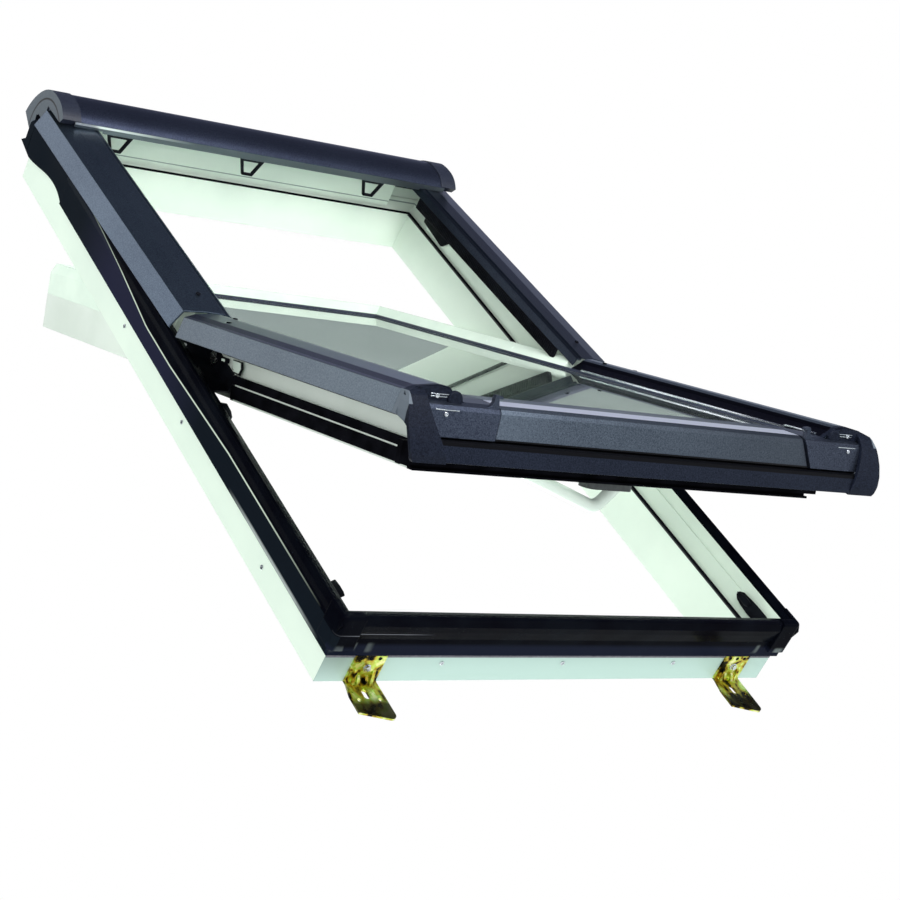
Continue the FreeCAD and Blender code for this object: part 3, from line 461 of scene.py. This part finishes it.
def joined(name, *pieces):
    """One object of several shapes."""
    bpy.ops.object.select_all(action="DESELECT")
    for piece in pieces:
        piece.select_set(True)
    bpy.context.view_layer.objects.active = pieces[0]
    bpy.ops.object.join()
    pieces[0].name = name
    return pieces[0]


case = cut_plate("lock_case", [(87.0, -8.0), (87.0, -2.0), (80.0, 2.0), (50.0, 4.0), (30.0, 4.0),
                               (14.0, 2.0), (9.0, -3.0), (14.0, -9.0), (30.0, -14.0), (50.0, -15.0),
                               (68.0, -14.0), (80.0, -12.0)], depth=7.0, edge=1.6)
striker = cut_plate("lock_striker", [(84.0, -4.0), (80.0, -9.0), (60.0, -10.0), (55.0, -7.0),
                                     (57.0, -1.0), (68.0, 0.0)], depth=15.0, edge=1.4)
lock = joined("lock_model", case, striker)
lean_across, lean_out = 0.846, 0.535
on_rebate = Matrix(((lean_across, 0.0, -lean_out, 0.017), (0.0, 1.0, 0.0, 0.0),
                    (lean_out, 0.0, lean_across, 0.0845), (0.0, 0.0, 0.0, 1.0)))
other_side = (Matrix.Translation((frame_width / 1000.0, 0.0, 0.0))
              @ Matrix.Scale(-1.0, 4, (1.0, 0.0, 0.0)))
both_frames = [roof, roof @ other_side]
other_lock = lock.copy()
other_lock.data = lock.data.copy()
bpy.context.scene.collection.objects.link(other_lock)
settle(lock, on_rebate)
settle(other_lock, other_side @ on_rebate)
locks = joined("lock_cases", lock, other_lock)
fit(locks, roof, rail_black)
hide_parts("lock_keepers")
lock_spots = [(23.6, 74.0, 84.6), (23.4, 36.0, 84.2)]
lock_screws = [facing(spot, (lean_across, 0.0, lean_out)) for spot in lock_spots]
zinc_pale, tree, shader, coords = new_finish("pale zinc plate", 0.3, edge=0.0002)
tint(tree, shader, speckle(tree, coords, 500.0), (0.80, 0.82, 0.84), (0.95, 0.96, 0.97))
vary_gloss(tree, shader, speckle(tree, coords, 300.0), 0.2, 0.4)
relief(tree, shader, speckle(tree, coords, 1500.0), depth=0.00004, strength=0.5)
fit_copies(round_screw("lock_screw", radius=1.9, height=0.9),
           [side @ screw for side in both_frames for screw in lock_screws], zinc_pale)
peg = cut_plate("side_peg", [(478.0, 61.0), (478.0, 68.0), (456.0, 81.0), (440.0, 80.0), (432.0, 76.0),
                             (432.0, 61.0)], depth=10.5, edge=0.8)
peg_place = Matrix.Translation((0.0305, 0.0, 0.0))
fit_copies(peg, [side @ peg_place for side in both_frames], rail_black)

# Dark ribbed strip that hangs under the inner edge of each upper cover: extruded and notched plastic.
# A black block in the rebate beside it near the head stands for black plastic and, in part, for painted
# shade under the hood's end.
bpy.ops.object.select_all(action="DESELECT")
ribs = strip("cover_rib", (66.0, 0.0, 124.0), (68.2, 2.2, 139.0), edge=0.3)
rib_count, rib_pitch, first_rib = 104, 0.0046, 0.612
row = ribs.modifiers.new("row", "ARRAY")
row.count = rib_count
row.use_relative_offset = False
row.use_constant_offset = True
row.constant_offset_displace = (0.0, rib_pitch, 0.0)
bpy.context.view_layer.objects.active = ribs
bpy.ops.object.modifier_apply(modifier="row")
ribs.data.transform(Matrix.Translation((0.0, first_rib, 0.0)))
web = strip("cover_web", (64.6, 606.0, 122.0), (66.4, 1094.0, 141.0), edge=0.4)
hanger = joined("cover_hanger", ribs, web)
cover_foot = Matrix.Translation((0.0, 0.558, 0.155))
cover_fall = cover_foot @ Matrix.Rotation(radians(-1.9), 4, "X") @ cover_foot.inverted()
fit_copies(hanger, [side @ cover_fall for side in both_frames], rail_black)
# The block is partly painted shade under the hood's end.
block = cut_plate("head_block", [(1010.0, 86.0), (1040.0, 104.0), (1096.0, 104.0), (1096.0, 78.0),
                                 (1024.0, 72.0)], depth=18.0, edge=2.0)
block_place = Matrix.Translation((0.0176, 0.0, 0.0))
fit_copies(block, [side @ block_place for side in both_frames], rail_black)

# Small plugs over the cover screws: black moulded caps with a sunk middle.
# One is pressed into the foot of each upper cover.
plug_place = facing((31.0, 611.0, 153.4))
fit_copies(round_screw("cover_plug", radius=3.4, height=1.6),
           [side @ plug_place for side in both_frames], rail_black)

# Hood over the head: one rolled aluminium shell with the same coating and a folded front lip.
# Its moulded end caps stand over the ends of the side covers. Their end faces are painted lighter as
# light, with a painted shadow behind their rim.
hood_grey, tree, shader, coords = coated_metal(
    "grey coated hood", (0.028, 0.035, 0.066), (0.070, 0.084, 0.135),
    roughness=0.38, coat=0.2)
# Painted sheen: the lip is lighter, and a painted highlight runs along its upper edge at the left.
on_lip = within(tree, coords, up=(1.15, 1.157), out=(0.13, 0.1455))
paint_over(tree, shader, on_lip, (0.13, 0.155, 0.175))
lip_highlight = calc(tree, "MULTIPLY", on_lip,
                   within(tree, coords, out=(0.1412, 0.150, 0.0006), across=(-1.0, 0.16, 0.17)))
paint_over(tree, shader, lip_highlight, (1.0, 1.0, 1.0))
finish_nodes(hood_grey, "hood_shell")
end_grey, tree, shader, coords = new_finish("grey moulded hood cap", 0.5)
tint(tree, shader, speckle(tree, coords, 620.0, detail=2.0), (0.010, 0.012, 0.026), (0.028, 0.034, 0.056))
# Painted light: the caps' end faces are lighter.
end_face = within(tree, coords, inward=(-0.03, -0.0045))
paint_over(tree, shader, end_face, (0.075, 0.095, 0.120))
# Painted shadow in a ring behind the rim.
rim_middle_up, rim_middle_out, shadow_inside, shadow_outside = 1.1975, 0.087, 0.0602, 0.0636
off_up = calc(tree, "POWER", calc(tree, "SUBTRACT", part_of(tree, coords, "up"), rim_middle_up), 2.0)
off_out = calc(tree, "POWER", calc(tree, "SUBTRACT", part_of(tree, coords, "out"), rim_middle_out), 2.0)
from_middle = calc(tree, "POWER", calc(tree, "ADD", off_up, off_out), 0.5)
rim_shadow = calc(tree, "MULTIPLY", end_face, between(tree, from_middle, shadow_inside, shadow_outside))
paint_over(tree, shader, rim_shadow, (0.003, 0.003, 0.006))
vary_gloss(tree, shader, speckle(tree, coords, 90.0), 0.36, 0.5)
relief(tree, shader, speckle(tree, coords, 1200.0), depth=0.00015, strength=0.7)
finish_nodes(end_grey, "hood_end_caps")

# Steel brackets: pressed from sheet and zinc plated with a yellow passivation.
# The film's tone drifts between straw, green and brown. The top face of the flange at the foot is painted
# darker.
bracket_yellow, tree, shader, coords = new_finish("yellow plated steel", 0.28, metallic=1.0)
tone = tree.nodes.new("ShaderNodeValToRGB")
brown, straw = tone.color_ramp.elements
brown.position, brown.color = 0.38, (0.012, 0.010, 0.004, 1.0)
straw.position, straw.color = 0.66, (1.0, 0.95, 0.45, 1.0)
tone.color_ramp.elements.new(0.47).color = (0.62, 0.44, 0.05, 1.0)
tone.color_ramp.elements.new(0.56).color = (0.62, 0.80, 0.14, 1.0)
tree.links.new(speckle(tree, coords, 85.0, (1.0, 0.55, 1.0), 2.0), tone.inputs["Fac"])
tree.links.new(tone.outputs["Color"], shader.inputs["Base Color"])
# The flange's top face at the foot is painted darker.
flange = within(tree, coords, out=(0.0022, 0.0038), up=(-0.1, 0.018, 0.012))
paint_over(tree, shader, flange, (0.050, 0.038, 0.018), strength=0.85)
vary_gloss(tree, shader, speckle(tree, coords, 80.0), 0.18, 0.4)
relief(tree, shader, speckle(tree, coords, 130.0), depth=0.0006, strength=0.4)
finish_nodes(bracket_yellow, "bracket_lower_left", "bracket_lower_right", "brackets_upper")

# Bolts through the brackets' legs: plated hexagon heads on round washers.
# Small black screws hold each leg in the row above.
def turned(sides, radius, low, high, rim, rise):
    """Disc between two heights with its top raised inside the rim; sizes in metres."""
    bpy.ops.object.select_all(action="DESELECT")
    bpy.ops.mesh.primitive_cylinder_add(vertices=sides, radius=radius, depth=high - low,
                                        location=(0.0, 0.0, (low + high) / 2.0))
    disc = bpy.context.object
    bpy.ops.object.transform_apply(location=True, rotation=False, scale=False)
    select_faces(disc, lambda middle, normal: normal.z > 0.9)
    bpy.ops.mesh.inset(thickness=rim)
    bpy.ops.transform.translate(value=(0.0, 0.0, rise))
    bpy.ops.object.mode_set(mode="OBJECT")
    return disc


bracket_middles = (64.0, 676.0)
for middle in bracket_middles:
    washer = turned(sides=32, radius=0.0055, low=0.0, high=0.0008, rim=0.0004, rise=0.0)
    head = turned(sides=6, radius=0.0042, low=0.0008, high=0.0038, rim=0.0007, rise=0.0004)
    fit(joined("bracket_bolt", washer, head), roof @ facing((middle, -3.0, 24.5), downhill),
        screw_steel)
leg_screws = [facing((middle + step, -2.4, 38.6), downhill)
              for middle in bracket_middles for step in (-13.4, 0.0, 13.4)]
fit_copies(round_screw("leg_screw", radius=2.2, height=1.0),
           [roof @ screw for screw in leg_screws], rail_black)

# Sash: white plastic members like the frame's, welded at the corners, with a light trim up the top half.
# A low blue-black gasket lies on the glass along its edge. Beside the hinges the sash is black.
sash_white, tree, shader, coords = new_finish("white sash plastic", 0.3, sash=True)
tint(tree, shader, speckle(tree, coords, 11.0), (0.68, 0.74, 0.68), (0.76, 0.81, 0.76))
vary_gloss(tree, shader, speckle(tree, coords, 70.0), 0.24, 0.38)
relief(tree, shader, speckle(tree, coords, 260.0, (1.0, 0.03, 1.0), 2.0), depth=0.00012, strength=0.5)
by_hinge = within(tree, coords, up=(-0.072, 0.05), out=(-0.050, -0.0125), inward=(0.03, 0.0516))
paint_over(tree, shader, by_hinge, (0.004, 0.004, 0.006))
finish_nodes(sash_white, "sash_left_stile", "sash_right_stile", "sash_bottom_rail", "sash_top_rail")

trim_white, tree, shader, coords = new_finish("pale trim plastic", 0.24, sash=True)
tint(tree, shader, speckle(tree, coords, 20.0), (0.74, 0.85, 0.76), (0.82, 0.93, 0.83))
vary_gloss(tree, shader, speckle(tree, coords, 60.0), 0.16, 0.32)
relief(tree, shader, speckle(tree, coords, 240.0, (1.0, 0.03, 1.0), 2.0), depth=0.0001, strength=0.5)
finish_nodes(trim_white, "sash_trim")

bead_grey, tree, shader, coords = new_finish("blue black glass gasket", 0.4, sash=True)
tint(tree, shader, speckle(tree, coords, 300.0, (1.0, 0.05, 1.0)), (0.014, 0.018, 0.035),
     (0.035, 0.045, 0.080))
vary_gloss(tree, shader, speckle(tree, coords, 90.0), 0.35, 0.5)
relief(tree, shader, speckle(tree, coords, 800.0, (1.0, 0.04, 1.0)), depth=0.00006, strength=0.5)
finish_nodes(bead_grey, "glazing_bead")

# Latches on the sash's sides: a black guide with a pale end, and a pale hooked tongue in a black slot.
# They are moulded, and let into the stile's outer face.
pivot = Matrix.Translation((0.0, pivot_up, pivot_out))
open_sash = roof @ pivot @ Matrix.Rotation(sash_swing, 4, "X") @ pivot.inverted()
both_sashes = [open_sash, open_sash @ other_side]
fit_copies(strip("latch_guide", (44.6, 500.0, 99.0), (50.6, 548.0, 105.5), edge=0.8, sunk=0.5),
           both_sashes, rail_black)
fit_copies(strip("latch_guide_end", (43.6, 503.0, 100.2), (50.8, 512.0, 104.0), edge=0.8, sunk=0.3),
           both_sashes, trim_white)
tongue = cut_plate("latch_tongue", [(482.0, 106.0), (461.0, 106.0), (458.5, 98.0), (463.0, 91.0),
                                    (477.0, 91.5), (477.0, 94.0), (480.0, 95.0)], depth=5.0, edge=0.8)
tongue_place = Matrix.Translation((0.0446, 0.0, 0.0))
slot_place = Matrix.Translation((0.0456, 0.0, 0.0))
slot = cut_plate("latch_slot", [(483.0, 107.0), (459.0, 107.0), (456.0, 98.0), (461.0, 88.8),
                                (478.0, 89.5), (479.0, 93.0), (482.0, 94.0)], depth=2.5, edge=0.4)
fit_copies(slot, [sash @ slot_place for sash in both_sashes], rail_black)
fit_copies(tongue, [sash @ tongue_place for sash in both_sashes], trim_white)

# Glass: a sealed unit of two panes, faintly green, held apart by a folded metal spacer.
# The panes have a little dust and very slight waves, so that reflections bend.
glass_green, tree, shader, coords = new_finish("green window glass", 0.0, edge=0.0)
shader.inputs["Base Color"].default_value = (0.76, 0.83, 0.80, 1.0)
shader.inputs["Transmission Weight"].default_value = 1.0
shader.inputs["IOR"].default_value = 1.5
vary_gloss(tree, shader, speckle(tree, coords, 30.0), 0.0, 0.02)
relief(tree, shader, speckle(tree, coords, 2.5, detail=0.0), depth=0.0005, strength=0.2)
finish_nodes(glass_green, "glass_inner_pane", "glass_outer_pane")

spacer_metal, tree, shader, coords = new_finish("spacer metal", 0.35, metallic=1.0)
tint(tree, shader, speckle(tree, coords, 700.0, (1.0, 0.1, 1.0)), (0.45, 0.46, 0.48), (0.68, 0.69, 0.70))
vary_gloss(tree, shader, speckle(tree, coords, 150.0), 0.3, 0.45)
relief(tree, shader, speckle(tree, coords, 500.0), depth=0.0001, strength=0.6)
finish_nodes(spacer_metal, "glass_spacer")

# Sash side covers: folded and coated like the upper ones, with two fine pale lines below the crest as
# painted highlights.
# Their inner slope is black. A bright rolled strip runs along the foot of each on the glass.
# Small black plugs cover the screws.
sash_grey, tree, shader, coords = coated_metal(
    "grey coated sash cover", (0.040, 0.058, 0.082), (0.115, 0.150, 0.182),
    roughness=0.32, coat=0.15, sash=True)
paint_over(tree, shader, within(tree, coords, inward=(-0.0098, 0.006, 0.001)), (0.040, 0.046, 0.078))
# Painted highlights: two fine pale lines below the crest.
for line in ((-0.0086, -0.0077, 0.0003), (-0.0066, -0.0057, 0.0003)):
    paint_over(tree, shader, within(tree, coords, inward=line), (0.32, 0.35, 0.45))
paint_over(tree, shader, within(tree, coords, inward=(0.052, 0.2)), (0.004, 0.004, 0.010))
finish_nodes(sash_grey, "sash_cover_left", "sash_cover_right")
strip_bright, tree, shader, coords = new_finish(
    "bright rolled aluminium", 0.22, metallic=1.0, edge=0.0005)
tint(tree, shader, speckle(tree, coords, 500.0, (1.0, 0.05, 1.0)), (0.55, 0.60, 0.68), (0.85, 0.90, 0.92))
vary_gloss(tree, shader, speckle(tree, coords, 150.0), 0.16, 0.3)
relief(tree, shader, speckle(tree, coords, 700.0, (1.0, 0.05, 1.0)), depth=0.00006, strength=0.5)
fit_copies(strip("glass_side_strip", (72.7, 64.0, 139.6), (76.2, 505.0, 145.6), edge=0.7),
           both_sashes, strip_bright)
fit_copies(strip("panel_side_strip", (72.7, 6.0, 145.3), (76.2, 64.0, 147.8), edge=0.5),
           both_sashes, strip_bright)
sash_plugs = [facing((13.3, 452.6, 157.6)), facing((43.2, 490.5, 160.2))]
fit_copies(round_screw("sash_plug", radius=3.4, height=1.6),
           [sash @ plug for sash in both_sashes for plug in sash_plugs], rail_black)

# Corner caps: moulded in dark grained plastic, with a collar in the side cover's grey.
# On the collar's plate are two ribs, a round stop and a screw. A screw and a slip hold the end panel.
cap_grey, tree, shader, coords = new_finish("dark moulded cap plastic", 0.5, sash=True)
tint(tree, shader, speckle(tree, coords, 620.0, detail=2.0), (0.003, 0.004, 0.009), (0.013, 0.017, 0.031))
shader.inputs["IOR"].default_value = 1.16
vary_gloss(tree, shader, speckle(tree, coords, 90.0), 0.36, 0.5)
relief(tree, shader, speckle(tree, coords, 1200.0), depth=0.00015, strength=0.7)
on_collar = within(tree, coords, up=(-0.5605, 0.0), inward=(-0.03, -0.0095))
paint_over(tree, shader, on_collar, (0.11, 0.13, 0.16))
finish_nodes(cap_grey, "corner_cap_left", "corner_cap_right")
for rib_low in (147.2, 150.2):
    fit_copies(strip("cap_rib", (22.0, -10.9, rib_low), (50.0, -10.0, rib_low + 1.0), edge=0.25),
               both_sashes, strip_bright)
stop_place = facing((56.5, -8.0, 145.5), downhill)
fit_copies(round_screw("cap_stop", radius=10.5, height=5.0, sunk=0.04),
           [sash @ stop_place for sash in both_sashes], cap_grey)
cap_screw_place = facing((31.0, -10.4, 148.6), downhill)
fit_copies(round_screw("cap_screw", radius=3.0, height=1.4),
           [sash @ cap_screw_place for sash in both_sashes], screw_steel)
panel_screw_place = facing((38.4, -23.3, 129.9), (0.0, -0.971, 0.239))
fit_copies(round_screw("panel_screw", radius=2.8, height=1.4),
           [sash @ panel_screw_place for sash in both_sashes], screw_steel)
fit_copies(strip("panel_slip", (24.0, -22.9, 134.2), (57.0, -21.9, 135.4), edge=0.25),
           both_sashes, strip_bright)

# Apron across the sash's foot: coated aluminium panels, the end ones a little proud of the middle one.
# The lower strip is coated darker. Painted shade darkens the upper panel to the right and makes the joint
# between the two black; the ledge by the glass is pale with a painted reflection.
apron_grey, tree, shader, coords = coated_metal(
    "grey coated apron", (0.052, 0.068, 0.096), (0.150, 0.185, 0.235),
    roughness=0.44, coat=0.2, sash=True)
# Painted shade: the upper panel darkens towards the right.
right_shade = within(tree, coords, across=(0.02, 3.0, 0.62))
paint_over(tree, shader, right_shade, (0.022, 0.028, 0.040), strength=0.75)
# Painted shadow in the joint at the upper panel's foot.
paint_over(tree, shader, within(tree, coords, out=(-0.1, 0.0068)), (0.003, 0.003, 0.005))
# Painted reflection: the ledge by the glass is pale.
top_reflection = within(tree, coords, up=(-0.5442, -0.5156), out=(0.042, 0.05))
paint_over(tree, shader, top_reflection, (0.74, 0.76, 0.86))
finish_nodes(apron_grey, "apron_upper_panel")
panel_dark, tree, shader, coords = coated_metal(
    "dark coated end panel", (0.016, 0.021, 0.038), (0.070, 0.085, 0.125),
    roughness=0.44, coat=0.1, sash=True)
finish_nodes(panel_dark, "apron_end_left", "apron_end_right")
lower_grey, tree, shader, coords = coated_metal(
    "dark coated lower strip", (0.006, 0.009, 0.019), (0.024, 0.031, 0.055),
    roughness=0.46, coat=0.1, sash=True)
# Painted shadow in the joint along the lower strip's top.
paint_over(tree, shader, within(tree, coords, out=(-0.0040, 0.1)), (0.003, 0.003, 0.005))
finish_nodes(lower_grey, "apron_lower_panel")

# Hinge pins and the screws in the hinge plates: turned steel.
# The pins are plated dull and the screws pale zinc, with domed heads.
pin_steel, tree, shader, coords = new_finish("plated pin steel", 0.25, metallic=1.0)
tint(tree, shader, speckle(tree, coords, 300.0), (0.50, 0.50, 0.50), (0.72, 0.72, 0.70))
vary_gloss(tree, shader, speckle(tree, coords, 200.0), 0.18, 0.35)
relief(tree, shader, speckle(tree, coords, 900.0), depth=0.00005, strength=0.5)
finish_nodes(pin_steel, "hinge_pins")
ledge_spots = [(16.2, 589.0), (23.7, 582.4), (16.5, 574.6), (16.7, 559.5)]
ledge_height = 87.5
places = [roof @ facing((across, up, ledge_height)) for across, up in ledge_spots]
places += [roof @ facing((frame_width - across, up, ledge_height)) for across, up in ledge_spots]
fit_copies(round_screw("hinge_screw", radius=3.0, height=1.8), places, zinc_pale)

# Handle under the bottom rail: a glossy white lacquered bow on a grey moulded base.
# The base is screwed to the rail from the room.
handle_white, tree, shader, coords = new_finish("white handle lacquer", 0.15)
tint(tree, shader, speckle(tree, coords, 15.0), (0.80, 0.90, 0.83), (0.86, 0.95, 0.88))
vary_gloss(tree, shader, speckle(tree, coords, 50.0), 0.10, 0.22)
relief(tree, shader, speckle(tree, coords, 90.0), depth=0.0001, strength=0.3)
finish_nodes(handle_white, "handle_bow")
base_grey, tree, shader, coords = new_finish("grey handle base", 0.4)
tint(tree, shader, speckle(tree, coords, 120.0), (0.030, 0.032, 0.036), (0.060, 0.064, 0.068))
vary_gloss(tree, shader, speckle(tree, coords, 110.0), 0.32, 0.5)
relief(tree, shader, speckle(tree, coords, 1300.0), depth=0.0001, strength=0.6)
finish_nodes(base_grey, "handle_base")

# Studio floor: a pale matt floor, painted evenly, well below the window.
# It only catches the window's shadow.
floor_drop, floor_size = 0.9, 7.0
bpy.ops.object.select_all(action="DESELECT")
bpy.ops.mesh.primitive_plane_add(size=floor_size, location=(0.3, 0.4, cad_box[0][2] - floor_drop))
floor = bpy.context.object
floor.name = "studio_floor"
floor_pale, tree, shader, coords = new_finish("pale floor", 0.7, edge=0.0)
tint(tree, shader, speckle(tree, coords, 3.0), (0.76, 0.77, 0.77), (0.80, 0.81, 0.81))
floor.data.materials.append(floor_pale)

# Surround: plain white behind the window, with an even soft light from all round.
# Metal and glass reflect pale and dark parts of a room: near and far walls, and a dark left side.
world = bpy.data.worlds.new("studio")
world.use_nodes = True
bpy.context.scene.world = world
tree = world.node_tree
soft = tree.nodes["Background"]
soft.inputs["Color"].default_value = (0.92, 0.98, 0.95, 1.0)
soft.inputs["Strength"].default_value = 0.98
shown = tree.nodes.new("ShaderNodeBackground")
direction = tree.nodes.new("ShaderNodeTexCoord")
heading = tree.nodes.new("ShaderNodeSeparateXYZ")
tree.links.new(direction.outputs["Generated"], heading.inputs["Vector"])


def sky_ramp(stops):
    """Colours of the surround by height above the horizon."""
    ramp = tree.nodes.new("ShaderNodeValToRGB")
    ramp.color_ramp.elements[0].position = stops[0][0]
    ramp.color_ramp.elements[0].color = (*stops[0][1], 1.0)
    ramp.color_ramp.elements[1].position = stops[-1][0]
    ramp.color_ramp.elements[1].color = (*stops[-1][1], 1.0)
    for position, colour in stops[1:-1]:
        ramp.color_ramp.elements.new(position).color = (*colour, 1.0)
    tree.links.new(heading.outputs["Z"], ramp.inputs["Fac"])
    return ramp.outputs["Color"]


def blend_sky(axis, start, end, before, after):
    """Passes from one part of the surround to the next along an axis."""
    step = tree.nodes.new("ShaderNodeMapRange")
    step.inputs["From Min"].default_value = start
    step.inputs["From Max"].default_value = end
    tree.links.new(heading.outputs[axis], step.inputs["Value"])
    both = tree.nodes.new("ShaderNodeMix")
    both.data_type = "RGBA"
    tree.links.new(step.outputs["Result"], both.inputs["Factor"])
    tree.links.new(before, both.inputs[first_colour])
    tree.links.new(after, both.inputs[second_colour])
    return both.outputs[mixed_colour]


def either(factor, first, second):
    """First background where the factor is nought, second where it is one."""
    mix = tree.nodes.new("ShaderNodeMixShader")
    first_shader, second_shader = mix.inputs[1:3]
    tree.links.new(factor, mix.inputs["Fac"])
    tree.links.new(first.outputs[0], first_shader)
    tree.links.new(second.outputs[0], second_shader)
    return mix


near_sky = sky_ramp([(0.0, (0.42, 0.46, 0.50)), (0.3, (0.30, 0.33, 0.37)), (0.6, (0.035, 0.038, 0.075))])
far_sky = sky_ramp([(0.28, (0.8, 0.85, 0.85)), (0.33, (0.27, 0.34, 0.325)), (0.405, (0.27, 0.33, 0.33)),
                    (0.45, (0.60, 0.64, 0.88)), (0.6, (0.50, 0.54, 0.76)), (0.70, (0.03, 0.033, 0.07))])
left_sky = sky_ramp([(0.0, (0.02, 0.02, 0.03)), (1.0, (0.03, 0.03, 0.05))])
front_to_back = blend_sky("Y", 0.3, 0.5, near_sky, far_sky)
tree.links.new(blend_sky("X", -0.3, -0.05, left_sky, front_to_back), shown.inputs["Color"])
path = tree.nodes.new("ShaderNodeLightPath")
white = tree.nodes.new("ShaderNodeBackground")
white.inputs["Color"].default_value = (1.0, 1.0, 1.0, 1.0)
reflected = either(path.outputs["Is Glossy Ray"], soft, shown)
seen = calc(tree, "MAXIMUM", path.outputs["Is Camera Ray"], path.outputs["Is Transmission Ray"])
tree.links.new(either(seen, reflected, white).outputs[0], tree.nodes["World Output"].inputs["Surface"])


# Lamps: five large soft squares, at the left, in front, above the front, in the room and at the right.
# The one above the front and the one in the room light the white faces inside.
def soft_lamp(name, place, target, size, power):
    """Large square lamp turned to its target."""
    data = bpy.data.lights.new(name, "AREA")
    data.size = size
    data.energy = power
    lamp = bpy.data.objects.new(name, data)
    bpy.context.scene.collection.objects.link(lamp)
    aim = (Vector(target) - Vector(place)).to_track_quat("-Z", "Y")
    lamp.matrix_world = Matrix.Translation(place) @ aim.to_matrix().to_4x4()


soft_lamp("left lamp", (-1.9, 2.3, 2.1), (0.3, 0.4, 0.4), size=1.8, power=19.0)
soft_lamp("front lamp", (-2.6, -2.2, 0.1), (0.4, 0.4, 0.3), size=1.6, power=18.0)
soft_lamp("upper front lamp", (0.3, -1.6, 1.5), (0.3, 0.8, 0.8), size=1.2, power=42.0)
soft_lamp("room lamp", (0.3, 0.95, -0.5), (0.3, 0.8, 0.8), size=0.9, power=27.0)
soft_lamp("right lamp", (2.9, -1.6, 0.9), (0.3, 0.4, 0.4), size=1.6, power=5.0)

bpy.context.scene.view_settings.view_transform = "Standard"
